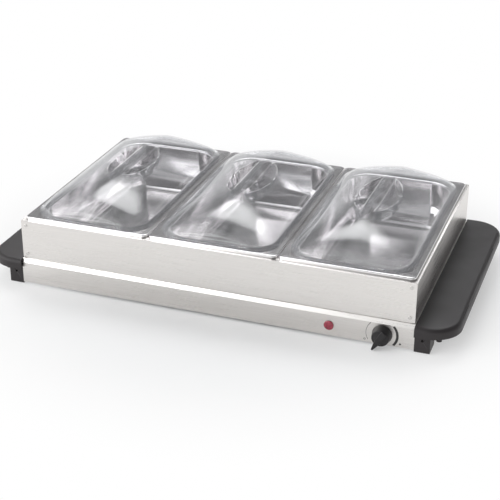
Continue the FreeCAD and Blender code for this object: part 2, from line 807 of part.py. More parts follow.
# ---------------------------------------------------------------- lift-off frame
def folded_panel(name, across, outward, length, tab=None):
    """A channel-section panel whose flat face is outwards and whose flanges turn inwards.

    across is the plane of its section, outward the place of its outer face (its sign gives the
    side), and length runs along the panel.
    """
    body = new_body(name)
    side = 1 if float(outward) > 0 else -1
    skin = outward - sizes.frame_sheet * side
    top_tip = outward - sizes.frame_top_flange * side
    foot_tip = outward - sizes.frame_foot_flange * side
    section = new_sketch(body, across, name="Section")
    corners = [
        (outward, frame_bottom), (outward, frame_top), (top_tip, frame_top),
        (top_tip, frame_top - sizes.frame_sheet), (skin, frame_top - sizes.frame_sheet),
        (skin, frame_bottom + sizes.frame_sheet), (foot_tip, frame_bottom + sizes.frame_sheet),
        (foot_tip, frame_bottom)]
    polygon(section, corners)
    pad(body, section, length, both_ways=True)
    return body


def make_frame_panels():
    """Front and rear panels over the whole length, side panels between them with tabs to rivet."""
    half_width = sizes.frame_width / 2
    thick = sizes.frame_sheet
    for side, name in ((-1, "front"), (1, "rear")):
        body = folded_panel(f"frame_{name}_panel", "YZ", half_width * side, sizes.frame_length)
        # the flanges stop short of the ends, where the side panels' flanges run through
        for end in (-1, 1):
            notch = new_sketch(body, "XY", frame_bottom - sizes.overcut, "FlangeNotch")
            inner_y = (half_width - thick) * side
            tip_y = (half_width - sizes.frame_top_flange - sizes.overcut) * side
            low, high = sorted((inner_y, tip_y), key=float)
            corner_x = (half_frame + sizes.overcut) * end
            flange_end = (half_frame - sizes.frame_top_flange - sizes.panel_gap) * end
            span_x(notch, corner_x, flange_end, low, high)
            pocket(body, notch, sizes.frame_height + sizes.overcut * 2, reverse=True)
        holes = new_sketch(body, "XZ", name="RivetHoles")
        for x, z in rivet_places():
            circle(holes, sizes.rivet_shank / 2 + sizes.rivet_gap, x, z)
        pocket(body, holes, sizes.frame_width + sizes.overcut * 2, both_ways=True)
        finish(body, f"frame_{name}_panel")
    for side, name in ((-1, "left"), (1, "right")):
        reach = sizes.frame_width - (thick + sizes.panel_gap) * 2
        body = folded_panel(f"frame_{name}_panel", "XZ", half_frame * side, reach)
        tab_gap = sizes.frame_sheet * 2
        tabs = new_sketch(body, "XY", frame_bottom + tab_gap, "Tabs")
        for end in (-1, 1):
            far = reach / 2 * end
            near = (reach / 2 - thick) * end
            low, high = sorted((far, near), key=float)
            root_x = (half_frame - thick / 2) * side
            span_x(tabs, root_x, (half_frame - sizes.frame_tab) * side, low, high)
        pad(body, tabs, sizes.frame_height - tab_gap * 2)
        holes = new_sketch(body, "XZ", name="RivetHoles")
        for x, z in rivet_places():
            if float(x) * side > 0:
                circle(holes, sizes.rivet_shank / 2 + sizes.rivet_gap, x, z)
        pocket(body, holes, sizes.frame_width, both_ways=True)
        finish(body, f"frame_{name}_panel")


def rivet_places():
    """X and Z of the two rivets at each end of the front and rear panels."""
    x = half_frame - sizes.rivet_edge
    levels = (frame_bottom + sizes.rivet_edge, frame_top - sizes.rivet_edge)
    return [(x * end, z) for end in (-1, 1) for z in levels]


def make_frame_rivets():
    rivets = []
    half_width = sizes.frame_width / 2
    grip = sizes.frame_sheet * 2 + sizes.panel_gap
    for side in (-1, 1):
        turn = FreeCAD.Rotation(FreeCAD.Vector(1, 0, 0), -90 * side)
        for index, (x, z) in enumerate(rivet_places()):
            name = f"rivet_{'front' if side < 0 else 'rear'}_{index}"
            shank = rod(name + "_shank", sizes.rivet_shank, grip, x, (half_width - grip) * side, z, turn)
            head = rod(name + "_head", sizes.rivet_head, sizes.rivet_rise, x, half_width * side, z, turn)
            tail_y = (half_width - grip - sizes.rivet_rise) * side
            tail = rod(name + "_tail", sizes.rivet_tail, sizes.rivet_rise, x, tail_y, z, turn)
            rivets.append(fuse(name, [shank, head, tail]))
    group("frame_rivets", rivets)


def make_crossbars():
    """Channel bars under the joints between neighbouring pans."""
    half_bar = sizes.crossbar_width / 2
    thick = sizes.frame_sheet
    reach = sizes.frame_width - (sizes.frame_top_flange + sizes.panel_gap) * 2
    for side, name in ((-1, "left"), (1, "right")):
        body = new_body(f"crossbar_{name}")
        section = new_sketch(body, "XZ", name="Section")
        low = frame_top - sizes.crossbar_depth
        polygon(section, [
            (-half_bar, low), (thick - half_bar, low), (thick - half_bar, frame_top - thick),
            (half_bar - thick, frame_top - thick), (half_bar - thick, low), (half_bar, low),
            (half_bar, frame_top), (-half_bar, frame_top)])
        pad(body, section, reach, both_ways=True)
        # tongues at the ends tuck under the panels' flanges
        tongues = new_sketch(body, "XY", frame_top - thick, "Tongues")
        for end in (-1, 1):
            tips = [(reach / 2 + sizes.tongue * way) * end for way in (-1, 1)]
            low, high = sorted(tips, key=float)
            rectangle(tongues, thick - half_bar, half_bar - thick, low, high)
        pad(body, tongues, thick, reverse=True)
        finish(body, f"crossbar_{name}", sizes.pan_pitch / 2 * side)


# ---------------------------------------------------------------- food pans
def pan_section(body, level, inset, label):
    """The pan's opening, drawn in by an inset, at one level."""
    sketch = new_sketch(body, "XY", level, label)
    width = sizes.mouth_width - inset * 2
    length = sizes.mouth_length - inset * 2
    return rounded_rectangle(sketch, width, length, sizes.mouth_corner - inset)


def make_pan(position, name):
    """A deep-drawn pan: flat rim with a turned-down edge, walls with a shoulder, rounded floor."""
    body = new_body(name)
    thick = sizes.pan_sheet
    rim = new_sketch(body, "XY", rim_top, "Rim")
    rounded_rectangle(rim, sizes.pan_width, sizes.pan_length, sizes.pan_corner)
    pad(body, rim, sizes.rim_drop, reverse=True)
    round_edges(body, sizes.rim_round, at_level(rim_top))
    under = new_sketch(body, "XY", rim_top - sizes.rim_drop, "UnderRim")
    rounded_rectangle(under, sizes.pan_width - thick * 2, sizes.pan_length - thick * 2,
                      sizes.pan_corner - thick)
    pocket(body, under, sizes.rim_drop - thick, reverse=True)
    floor = rim_top - sizes.pan_depth
    shoulder_top = rim_top - sizes.shoulder_depth
    shoulder_foot = shoulder_top - sizes.shoulder_drop
    step = sizes.wall_draft + sizes.shoulder_step
    stations = [
        (floor, step + sizes.foot_draft), (shoulder_foot, step),
        (shoulder_top, sizes.wall_draft), (rim_top, Size.of(0))]
    outer = [pan_section(body, level, inset - thick, f"Outside{index}")
             for index, (level, inset) in enumerate(stations[1:3], start=1)]
    outer.insert(0, pan_section(body, floor - thick, step + sizes.foot_draft - thick, "Outside0"))
    outer.append(pan_section(body, rim_top - thick / 2, -thick, "Outside3"))
    loft(body, outer)
    round_edges(body, sizes.mouth_round, mouth_edge(rim_top - thick))
    inner = [pan_section(body, level, inset, f"Inside{index}")
             for index, (level, inset) in enumerate(stations)]
    loft(body, inner, remove=True)
    round_edges(body, sizes.pan_floor_round, at_level(floor))
    round_edges(body, sizes.pan_floor_round + thick, at_level(floor - thick))
    round_edges(body, sizes.mouth_round + thick, mouth_edge(rim_top))
    finish(body, name, sizes.pan_pitch * position)


def mouth_edge(level):
    """The edges of a pan's opening at one level, and not those of its outer rim."""
    margin = (sizes.mouth_round + sizes.pan_sheet).value
    reach_x = sizes.mouth_width.value / 2 + margin
    reach_y = sizes.mouth_length.value / 2 + margin

    def wanted(edge):
        bounds = edge.BoundBox
        inside = max(abs(bounds.XMin), abs(bounds.XMax)) < reach_x
        return at_level(level)(edge) and inside and max(abs(bounds.YMin), abs(bounds.YMax)) < reach_y
    return wanted


# ---------------------------------------------------------------- clear lids
# the dome's height is (1 - share ** power) ** (1 / sharpness), with one power across and one along
ARCH_ACROSS = 1.37
ARCH_ALONG = 3.96
ARCH_SHARPNESS = 1.72
# the end sections stop just short of the dome's foot, where their arch would shrink to nothing
ARCH_REACH = 0.995
CORNER_TURNS = (0, 30, 55, 75, 90)
MIDDLE_SHARES = (-0.6, 0, 0.6)
ARCH_STEPS = 16
CUP_STEPS = 12
# the grip bar's sides lean by this share of the cups' taper
GRIP_LEAN = 1 / 3


def arch(share, power):
    """Height of the dome as a share of its rise, from its middle (0) out to its foot (1)."""
    return max(0.0, 1 - abs(share) ** power) ** (1 / ARCH_SHARPNESS)


def dome(half_width, half_length, corner, base, rise, foot):
    """A closed dome lofted along Y through arch-shaped sections that stand on a low straight foot.

    Towards each end the sections narrow along a quarter circle, which rounds the dome's corners.
    """
    ends = [math.radians(turn) for turn in CORNER_TURNS]
    rounded = [(half_length - corner * (1 - math.sin(turn)), half_width - corner * (1 - math.cos(turn)))
               for turn in ends]
    middle = half_length - corner
    stations = [(-y, width) for y, width in reversed(rounded)]
    stations += [(middle * share, half_width) for share in MIDDLE_SHARES]
    stations += rounded
    wires = []
    for y, width in stations:
        fall = arch(y / half_length * ARCH_REACH, ARCH_ALONG)
        points = []
        for step in range(ARCH_STEPS + 1):
            share = -math.cos(math.pi * step / ARCH_STEPS)
            height = foot + (rise - foot) * arch(share, ARCH_ACROSS) * fall
            points.append(FreeCAD.Vector(width * share, y, base + height))
        curve = Part.BSplineCurve()
        curve.interpolate(points)
        low_left = FreeCAD.Vector(-width, y, base)
        low_right = FreeCAD.Vector(width, y, base)
        wires.append(Part.Wire([
            curve.toShape(), Part.makeLine(points[-1], low_right),
            Part.makeLine(low_right, low_left), Part.makeLine(low_left, points[0])]))
    return Part.makeLoft(wires, True, False)


def rounded_block(width, length, corner, low, high):
    """An upright block with round corners about the Z axis."""
    block = Part.makeBox(width, length, high - low, FreeCAD.Vector(-width / 2, -length / 2, low))
    return block.makeFillet(corner, [edge for edge in block.Edges if edge.BoundBox.ZLength > 1e-3])


def finger_cup(side, outset, floor, top):
    """One half-oval cup beside the grip bar, tapering down to its floor."""
    wires = []
    for level, taper in ((floor, sizes.cup_taper.value), (top, 0.0)):
        across = sizes.cup_width.value / 2 - taper + outset
        along = sizes.cup_length.value / 2 - taper + outset
        chord = sizes.grip_width.value / 2 + taper * GRIP_LEAN - outset
        reach = along * math.sqrt(1 - (chord / across) ** 2)
        bottom = FreeCAD.Vector(chord * side, -reach, level)
        crest = FreeCAD.Vector(chord * side, reach, level)
        ends = [math.asin(reach / along) * sign for sign in (-1, 1)]
        points = []
        for step in range(CUP_STEPS + 1):
            turn = ends[0] + (ends[1] - ends[0]) * step / CUP_STEPS
            x, y = across * math.cos(turn) * side, along * math.sin(turn)
            points.append(FreeCAD.Vector(x, y, level))
        points[0], points[-1] = bottom, crest
        curve = Part.BSplineCurve()
        curve.interpolate(points)
        wires.append(Part.Wire([curve.toShape(), Part.makeLine(crest, bottom)]))
    return Part.makeLoft(wires, True, True)


def lid_shape():
    """A clear moulding: brim, thin dome, and two finger cups with a hollow grip bar between them."""
    wall = sizes.lid_wall.value
    seat = lid_seat.value
    brim_top = seat + sizes.lid_brim.value
    top = seat + sizes.lid_rise.value
    half_width = sizes.dome_width.value / 2
    half_length = sizes.dome_length.value / 2
    foot = (sizes.lid_brim + sizes.dome_foot).value
    corner = sizes.lid_corner.value
    brim = rounded_block(sizes.lid_width.value, sizes.lid_length.value, corner, seat, brim_top)
    dome_corner = corner - (sizes.lid_width.value - sizes.dome_width.value) / 2
    rise = sizes.lid_rise.value
    outside = dome(half_width, half_length, dome_corner, seat, rise, foot)
    below = sizes.overcut.value
    inside = dome(half_width - wall, half_length - wall, dome_corner - wall, seat - below,
                  rise - wall + below, foot)
    shell = brim.fuse(outside).cut(inside)
    floor = top - sizes.cup_depth.value
    above = top + sizes.cup_headroom.value
    for side in (-1, 1):
        lining = finger_cup(side, wall, floor - wall, above).common(outside)
        shell = shell.fuse(lining)
    for side in (-1, 1):
        shell = shell.cut(finger_cup(side, 0.0, floor, above))
    return shell


def make_lids():
    shape = lid_shape()
    for position, name in zip((-1, 0, 1), PAN_NAMES):
        item = doc.addObject("Part::Feature", f"lid_{name}_feature")
        item.Shape = shape.copy()
        finish(item, f"lid_{name}", sizes.pan_pitch * position)


# ---------------------------------------------------------------- control knob and thermostat
def on_front(item, label, x, rotation=FRONT_TURN):
    """Finish a piece whose own +Z points out of the front panel's outer face."""
    return finish(item, label, x, base_front, sizes.control_height, rotation)


def make_control_knob():
    """Tapered knob with a pointed grip bar, a recess over the nut and a D-shaped bore."""
    body = new_body("control_knob")
    gap = sizes.knob_gap
    top = sizes.knob_projection
    shoulder = top - sizes.bar_rise
    base_radius = sizes.knob_diameter / 2
    face_radius = base_radius - sizes.knob_draft
    outline = new_sketch(body, "XZ")
    polygon(outline, [(0, gap), (base_radius, gap), (face_radius, shoulder), (0, shoulder)])
    revolve(body, outline)
    round_edges(body, sizes.knob_round, at_level(shoulder))
    bar = new_sketch(body, "XY", gap + sizes.bar_rise, "GripBar")
    half_bar = sizes.pointer_width / 2
    half_tip = half_bar * BAR_TIP_WIDTH
    back = -face_radius + sizes.bar_setback
    taper_start = face_radius * BAR_TAPER_START
    polygon(bar, [
        (half_bar, back), (half_bar, taper_start), (half_tip, sizes.pointer_reach),
        (-half_tip, sizes.pointer_reach), (-half_bar, taper_start), (-half_bar, back)])
    pad(body, bar, top - gap - sizes.bar_rise)
    round_edges(body, sizes.bar_round, at_level(top))
    recess = new_sketch(body, "XY", gap, "NutRecess")
    recess_depth = sizes.nut_height + sizes.nut_clearance
    circle(recess, sizes.nut_across / 2 + sizes.nut_clearance)
    pocket(body, recess, recess_depth, reverse=True)
    bore = new_sketch(body, "XY", gap, "Bore")
    flat = sizes.shaft_diameter / 2 - sizes.shaft_flat + sizes.shaft_clearance
    bore_radius = sizes.shaft_diameter / 2 + sizes.shaft_clearance
    circle(bore, bore_radius)
    pocket(body, bore, top - gap - sizes.shaft_cover, reverse=True)
    key = new_sketch(body, "XY", gap + recess_depth, "Key")
    rectangle(key, -bore_radius, bore_radius, flat, bore_radius + sizes.key_overlap)
    pad(body, key, top - gap - recess_depth - sizes.shaft_cover)
    turn = FreeCAD.Rotation(FreeCAD.Vector(0, 0, 1), -sizes.pointer_angle.value)
    on_front(body, "control_knob", sizes.knob_x, FRONT_TURN * turn)


def make_thermostat():
    """Switch block behind the panel, its bush and nut, the shaft that the knob turns, and blades."""
    shaft = new_body("thermostat_shaft")
    disc = new_sketch(shaft, "XY", -sizes.sheet - sizes.shaft_depth)
    circle(disc, sizes.shaft_diameter / 2)
    shaft_top = sizes.knob_projection - sizes.shaft_cover - sizes.shaft_clearance
    pad(shaft, disc, shaft_top + sizes.sheet + sizes.shaft_depth)
    flat = new_sketch(shaft, "XY", shaft_top, "Flat")
    radius = sizes.shaft_diameter / 2
    clear = radius + sizes.overcut
    rectangle(flat, -clear, clear, radius - sizes.shaft_flat, clear)
    pocket(shaft, flat, shaft_top - sizes.knob_gap - sizes.nut_height)
    turn = FreeCAD.Rotation(FreeCAD.Vector(0, 0, 1), -sizes.pointer_angle.value)
    on_front(shaft, "thermostat_shaft", sizes.knob_x, FRONT_TURN * turn)

    bush = new_body("thermostat_bush")
    ring = new_sketch(bush, "XY", -sizes.sheet)
    circle(ring, sizes.bush_diameter / 2)
    circle(ring, sizes.shaft_diameter / 2 + sizes.shaft_clearance)
    pad(bush, ring, sizes.sheet + sizes.nut_height + sizes.bush_proud)
    collar = new_sketch(bush, "XY", -sizes.sheet - sizes.bush_collar, "Collar")
    circle(collar, sizes.bush_diameter / 2 + sizes.collar_width)
    circle(collar, sizes.shaft_diameter / 2 + sizes.shaft_clearance)
    pad(bush, collar, sizes.bush_collar)
    on_front(bush, "thermostat_bush", sizes.knob_x)

    nut = make_nut("thermostat_nut", sizes.nut_across, sizes.nut_height, sizes.bush_diameter)
    on_front(nut, "thermostat_nut", sizes.knob_x)

    block = new_body("thermostat_block")
    back = -sizes.sheet - sizes.bush_collar
    outline = new_sketch(block, "XY", back)
    rounded_rectangle(outline, sizes.thermostat_length, sizes.thermostat_height, sizes.thermostat_corner)
    pad(block, outline, sizes.thermostat_depth, reverse=True)
    bore = new_sketch(block, "XY", back, "ShaftBore")
    circle(bore, sizes.shaft_diameter / 2 + sizes.shaft_room)
    pocket(block, bore, sizes.shaft_depth)
    channel = new_sketch(block, "XY", back - sizes.thermostat_depth, "BladeChannel")
    half_channel = sizes.channel_width / 2
    channel_end = sizes.thermostat_length / 2 + sizes.overcut
    rectangle(channel, -channel_end, channel_end, -half_channel, half_channel)
    pocket(block, channel, sizes.channel_depth, reverse=True)
    on_front(block, "thermostat_block", sizes.knob_x)

    blades = []
    length = sizes.thermostat_length - sizes.blade_margin * 2
    low_blade_y = base_front - back + sizes.thermostat_depth - sizes.blade_setback
    for index, side in enumerate((-1, 1)):
        y = low_blade_y + sizes.blade_stagger * index
        z = sizes.control_height + sizes.blade_spread * side - sizes.blade_width / 2
        blades.append(box(f"blade_{index}", length, sizes.blade_sheet, sizes.blade_width,
                          sizes.knob_x - length / 2, y, z))
    group("thermostat_blades", blades)


def make_nut(name, across, height, bore):
    """A hexagon nut standing on its own XY plane."""
    body = new_body(name)
    hexagon = new_sketch(body, "XY")
    radius = across / math.sqrt(3)
    turns = [math.radians(60 * corner) for corner in range(6)]
    polygon(hexagon, [(radius * math.cos(turn), radius * math.sin(turn)) for turn in turns])
    circle(hexagon, bore / 2 + sizes.thread_clearance)
    pad(body, hexagon, height)
    return body


# ---------------------------------------------------------------- indicator lamp
def make_indicator():
    """A domed lens with a hollow barrel, the neon tube inside it and the ring that grips it."""
    lens = new_body("indicator_lens")
    outline = new_sketch(lens, "XZ")
    barrel = sizes.lamp_barrel / 2
    flange = sizes.lamp_diameter / 2
    hollow = sizes.neon_diameter / 2 + sizes.neon_clearance
    domed = [(flange * across, sizes.lamp_proud * up) for across, up in LENS_DOME]
    polygon(outline, [
        (hollow, -sizes.lamp_depth), (barrel, -sizes.lamp_depth), (barrel, 0), (flange, 0),
        (flange, sizes.lamp_edge), *domed, (0, sizes.lamp_proud), (0, sizes.lamp_crown), (hollow, 0)])
    revolve(lens, outline)
    on_front(lens, "indicator_lens", sizes.lamp_x)
    neon = new_body("indicator_neon")
    outline = new_sketch(neon, "XZ")
    radius = sizes.neon_diameter / 2
    back = -sizes.lamp_depth - sizes.neon_tail
    tip = -sizes.neon_gap
    across, down = NEON_TIP
    polygon(outline, [
        (0, back), (radius, back), (radius, tip - sizes.neon_taper),
        (radius * across, tip - sizes.neon_taper * down), (0, tip)])
    revolve(neon, outline)
    on_front(neon, "indicator_neon", sizes.lamp_x)
    ring = new_body("indicator_clip")
    outline = new_sketch(ring, "XY", -sizes.sheet)
    circle(outline, barrel + sizes.ring_width)
    circle(outline, barrel + sizes.thread_clearance)
    pad(ring, outline, sizes.ring_height, reverse=True)
    on_front(ring, "indicator_clip", sizes.lamp_x)


# ---------------------------------------------------------------- heater under the well
def make_heating_element():
    """A sheathed tube in four legs joined by round bends, both ends at the right."""
    reach = sizes.element_reach
    right_end = reach + sizes.element_tail
    levels = [sizes.element_pitch * share for share in (-1.5, -0.5, 0.5, 1.5)]
    runs = []
    for index, (y, end) in enumerate(zip(levels, (right_end, reach, reach, right_end))):
        leg = rod(f"leg_{index}", sizes.element_diameter, end + reach, -reach, y, element_level, RIGHT_TURN)
        runs.append(leg)
    for index, side in enumerate((-1, 1, -1)):
        bend = doc.addObject("Part::Torus", f"bend_{index}")
        bend.Angle3 = 180
        bend.Placement = FreeCAD.Placement(ORIGIN, FreeCAD.Rotation(FreeCAD.Vector(0, 0, 1), -90 * side))
        bind(bend, Radius1=sizes.element_pitch / 2, Radius2=sizes.element_diameter / 2, Base_x=reach * side,
             Base_y=(levels[index] + levels[index + 1]) / 2, Base_z=element_level)
        runs.append(bend)
    finish(fuse("element_fuse", runs), "heating_element")
    pins = []
    for index, y in enumerate((levels[0], levels[3])):
        pin = rod(f"pin_{index}", sizes.pin_diameter, sizes.pin_length, right_end, y, element_level,
                  RIGHT_TURN)
        pins.append(pin)
    group("element_pins", pins)
    straps = []
    clearance = sizes.element_gap
    inner = sizes.element_diameter / 2 + clearance
    low = element_level - inner - sizes.clip_sheet
    plate_under = well_floor - sizes.plate_sheet
    for x_index, x in enumerate((-sizes.clip_reach, sizes.clip_reach)):
        for y_index, y in enumerate(levels):
            name = f"strap_{x_index}{y_index}"
            left = x - sizes.clip_width / 2
            near = y - inner - sizes.clip_sheet
            floor_width = (inner + sizes.clip_sheet) * 2
            parts = [box(name + "_floor", sizes.clip_width, floor_width, sizes.clip_sheet, left, near, low)]
            sides = (("front", near, near - sizes.clip_foot), ("rear", y + inner, y + floor_width / 2))
            for side, wall_y, foot_y in sides:
                wall = box(f"{name}_{side}_wall", sizes.clip_width, sizes.clip_sheet, plate_under - low,
                           left, wall_y, low)
                foot = box(f"{name}_{side}_foot", sizes.clip_width, sizes.clip_foot, sizes.clip_sheet,
                           left, foot_y, plate_under - sizes.clip_sheet)
                parts += [wall, foot]
            straps.append(fuse(name, parts))
    group("element_straps", straps)


def stud_places():
    return [(stud_x * x, sizes.stud_y * y) for x in (-1, 1) for y in (-1, 1)]


def make_heat_shield():
    """A reflector plate hung under the heater on four weld studs with spacers and nuts."""
    body = new_body("heat_shield")
    plate = new_sketch(body, "XY", shield_level)
    reach_x = stud_x + sizes.shield_margin
    reach_y = sizes.element_pitch * 1.5 + sizes.shield_margin
    rounded_rectangle(plate, reach_x * 2, reach_y * 2, sizes.shield_corner)
    for x, y in stud_places():
        circle(plate, sizes.stud_diameter / 2 + sizes.hole_clearance, x, y)
    pad(body, plate, sizes.shield_sheet, reverse=True)
    finish(body, "heat_shield")
    under = well_floor - sizes.plate_sheet
    studs, spacers, nuts = [], [], []
    bottom = shield_level - sizes.shield_sheet
    nut_height = sizes.stud_tail - sizes.stud_proud
    spacer_bore = sizes.stud_diameter + sizes.hole_clearance
    for index, (x, y) in enumerate(stud_places()):
        low = bottom - sizes.stud_tail
        studs.append(rod(f"stud_{index}", sizes.stud_diameter, under - low, x, y, low))
        outer = rod(f"spacer_outer_{index}", spacer_diameter, under - shield_level, x, y, shield_level)
        inner = rod(f"spacer_bore_{index}", spacer_bore, under - shield_level, x, y, shield_level)
        spacers.append(cut(f"spacer_{index}", outer, inner))
        nut = make_nut(f"shield_nut_{index}", spacer_diameter, nut_height, sizes.stud_diameter)
        bind(nut, Base_x=x, Base_y=y, Base_z=bottom - nut_height)
        nuts.append(nut)
    group("plate_studs", studs)
    group("shield_spacers", spacers)
    group("shield_nuts", nuts)
    cutout_low = under - sizes.cutout_height
    disc = rod("cutout_disc", sizes.cutout_diameter, sizes.cutout_height, sizes.cutout_x, 0, cutout_low)
    tags = []
    for side in (-1, 1):
        near = sizes.cutout_x + (sizes.cutout_diameter / 2 + sizes.tag_reach) * side - sizes.tag_length / 2
        name = f"cutout_tag_{'left' if side < 0 else 'right'}"
        tags.append(box(name, sizes.tag_length, sizes.tag_length, sizes.tag_sheet, near,
                        -sizes.tag_length / 2, cutout_low))
    finish(fuse("cutout_fuse", [disc, *tags]), "thermal_cutout")


# ---------------------------------------------------------------- mains inlet and wiring
def make_inlet():
    """A flanged gland in the rear panel with its nut, and the terminal block inside."""
    gland = new_body("cable_gland")
    outline = new_sketch(gland, "XZ")
    bore = sizes.inlet_bore / 2
    neck = sizes.inlet_neck / 2
    flange = sizes.inlet_flange / 2
    inside = -sizes.sheet - sizes.gland_nut - sizes.gland_tail
    proud = sizes.inlet_proud
    polygon(outline, [
        (bore, inside), (neck, inside), (neck, 0), (flange, 0), (flange, proud * GLAND_EDGE),
        (flange * GLAND_FACE, proud), (bore + sizes.inlet_lip, proud), (bore, proud * GLAND_MOUTH)])
    revolve(gland, outline)
    finish(gland, "cable_gland", sizes.inlet_x, sizes.base_width / 2, sizes.control_height, REAR_TURN)
    across = sizes.inlet_neck + sizes.gland_nut_wall * 2
    nut = make_nut("gland_nut", across, sizes.gland_nut, sizes.inlet_neck)
    rear_inside = sizes.base_width / 2 - sizes.sheet
    finish(nut, "gland_nut", sizes.inlet_x, rear_inside, sizes.control_height, FRONT_TURN)
    block = new_body("terminal_block")
    outline = new_sketch(block, "XY", block_low)
    near = block_rear - sizes.block_depth
    half_block = sizes.block_length / 2
    rectangle(outline, sizes.block_x - half_block, sizes.block_x + half_block, near, block_rear)
    pad(block, outline, sizes.block_height)
    wells = new_sketch(block, "XY", block_low + sizes.block_height, "ScrewWells")
    for share in (-1, 0, 1):
        x = sizes.block_x + sizes.block_length / 3 * share
        circle(wells, sizes.terminal_bore / 2, x, near + sizes.block_depth / 2)
    pocket(block, wells, sizes.terminal_depth)
    finish(block, "terminal_block")


def tube(route, diameter, bend):
    """A round tube along straight runs joined by tangent arcs, as one closed solid."""
    points = [FreeCAD.Vector(*(float(Size.of(part)) for part in point)) for point in route]
    edges = []
    start = points[0]
    for before, corner, after in zip(points, points[1:], points[2:]):
        inward, outward = (corner - before).normalize(), (after - corner).normalize()
        turn = inward.getAngle(outward)
        trim = bend * math.tan(turn / 2)
        first, last = corner - inward * trim, corner + outward * trim
        middle = corner + (outward - inward).normalize() * bend * (1 / math.cos(turn / 2) - 1)
        edges.append(Part.makeLine(start, first))
        edges.append(Part.Arc(first, middle, last).toShape())
        start = last
    edges.append(Part.makeLine(start, points[-1]))
    path = Part.Wire(edges)
    direction = (points[1] - points[0]).normalize()
    ring = Part.Wire([Part.makeCircle(diameter / 2, points[0], direction)])
    return path.makePipeShell([ring], True, True)


def make_wires():
    """Insulated leads between the block, the thermostat, the heater's pins and the lamp."""
    band = half_base - sizes.sheet - sizes.wire_margin
    block_right = sizes.block_x + sizes.block_length / 2
    block_left = sizes.block_x - sizes.block_length / 2
    block_y = block_rear - sizes.block_depth / 2
    switch_right = sizes.knob_x + sizes.thermostat_length / 2
    switch_y = base_front + sizes.sheet + sizes.bush_collar + sizes.thermostat_depth / 2
    pin_end = sizes.element_reach + sizes.element_tail + sizes.pin_length
    leg = sizes.element_pitch * 1.5
    low_level = shield_level + sizes.wire_diameter
    high_level = block_low + sizes.block_height - sizes.wire_diameter / 2
    neon_back = base_front + sizes.lamp_depth + sizes.neon_tail
    lead_level = sizes.control_height - sizes.lead_drop
    earth_x = block_left - sizes.earth_reach
    wall = sizes.base_width / 2 - sizes.sheet
    routes = {
        "wire_live": [
            (block_right, block_y, low_level), (band, block_y, low_level),
            (band, switch_y, low_level), (switch_right, switch_y, low_level)],
        "wire_neutral": [
            (block_right, block_y, element_level), (band - sizes.wire_diameter, block_y, element_level),
            (band - sizes.wire_diameter, leg, element_level), (pin_end, leg, element_level)],
        "wire_heater": [
            (switch_right, switch_y, element_level), (band - sizes.wire_diameter, switch_y, element_level),
            (band - sizes.wire_diameter, -leg, element_level), (pin_end, -leg, element_level)],
        "wire_lamp": [
            (sizes.lamp_x, neon_back, lead_level),
            (sizes.lamp_x, neon_back + sizes.lamp_lead, lead_level),
            (sizes.lamp_x, neon_back + sizes.lamp_lead * 2, low_level),
            (sizes.lamp_x, block_rear - sizes.block_depth, low_level)],
        "wire_earth": [
            (block_left, block_y, low_level), (earth_x, block_y, low_level),
            (earth_x, wall - sizes.sheet, low_level)],
    }
    for name, route in routes.items():
        item = doc.addObject("Part::Feature", name + "_feature")
        item.Shape = tube(route, sizes.wire_diameter.value, sizes.wire_bend.value)
        finish(item, name)
    half_tag = sizes.earth_tag / 2
    tag = doc.addObject("Part::Box", "earth_tag_box")
    bind(tag, Length=sizes.earth_tag, Width=sizes.sheet, Height=sizes.earth_tag)
    finish(tag, "earth_tag", earth_x - half_tag, wall - sizes.sheet, low_level - half_tag)


def make_all():
    """Build every sub-part, check it and write it out."""
    make_base_housing()
    make_warming_plate()
    make_bottom_cover()
    make_cover_screws()
    make_handle(-1, "handle_left")
    make_handle(1, "handle_right")
    make_foot_pads()
    make_handle_screws()
    make_frame_panels()
    make_frame_rivets()
    make_crossbars()
    for position, name in zip((-1, 0, 1), PAN_NAMES):
        make_pan(position, f"pan_{name}")
    make_lids()
    make_control_knob()
    make_thermostat()
    make_indicator()
    make_heating_element()
    make_heat_shield()
    make_inlet()
    make_wires()


def write_parts():
    doc.recompute()
    for item in doc.Objects:
        if "Invalid" in item.State or "Error" in item.State:
            raise ValueError(f"{item.Name} ({item.Label}) failed: {item.State}")
    os.makedirs("parts", exist_ok=True)
    for item in pieces:
        if item.Shape.isNull() or not item.Shape.isValid():
            raise ValueError(f"{item.Label} has no valid shape")
        item.Shape.exportStep(os.path.join("parts", item.Label + ".step"))
        print(item.Label, len(item.Shape.Solids), round(item.Shape.Volume, 1))


make_all()
write_parts()
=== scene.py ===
"""Studio model of an electric buffet server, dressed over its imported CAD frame.

Everything is in metres in the row frame: +X runs right along the pans, the controls
face -Y and +Z is up.
"""

import logging
import math
from abc import ABC, abstractmethod
from collections.abc import Callable, Sequence
from dataclasses import dataclass, field
from enum import Enum
from typing import Any

import bpy
from mathutils import Matrix, Vector


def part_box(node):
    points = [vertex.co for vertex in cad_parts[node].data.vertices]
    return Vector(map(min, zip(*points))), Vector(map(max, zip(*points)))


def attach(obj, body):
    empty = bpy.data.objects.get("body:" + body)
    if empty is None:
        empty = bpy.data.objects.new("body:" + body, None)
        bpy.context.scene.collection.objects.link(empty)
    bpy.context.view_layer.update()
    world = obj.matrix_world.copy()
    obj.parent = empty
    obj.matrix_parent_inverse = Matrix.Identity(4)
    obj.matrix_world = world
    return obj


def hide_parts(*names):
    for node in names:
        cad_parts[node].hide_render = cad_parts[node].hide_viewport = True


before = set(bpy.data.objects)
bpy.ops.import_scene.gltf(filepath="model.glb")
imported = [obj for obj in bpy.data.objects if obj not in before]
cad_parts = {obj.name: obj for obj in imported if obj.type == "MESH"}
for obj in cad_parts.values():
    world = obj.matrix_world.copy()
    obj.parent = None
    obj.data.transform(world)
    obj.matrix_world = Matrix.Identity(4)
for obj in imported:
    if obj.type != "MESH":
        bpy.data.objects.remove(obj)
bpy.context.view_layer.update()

MM = 0.001
QUARTER_TURN = math.pi / 2
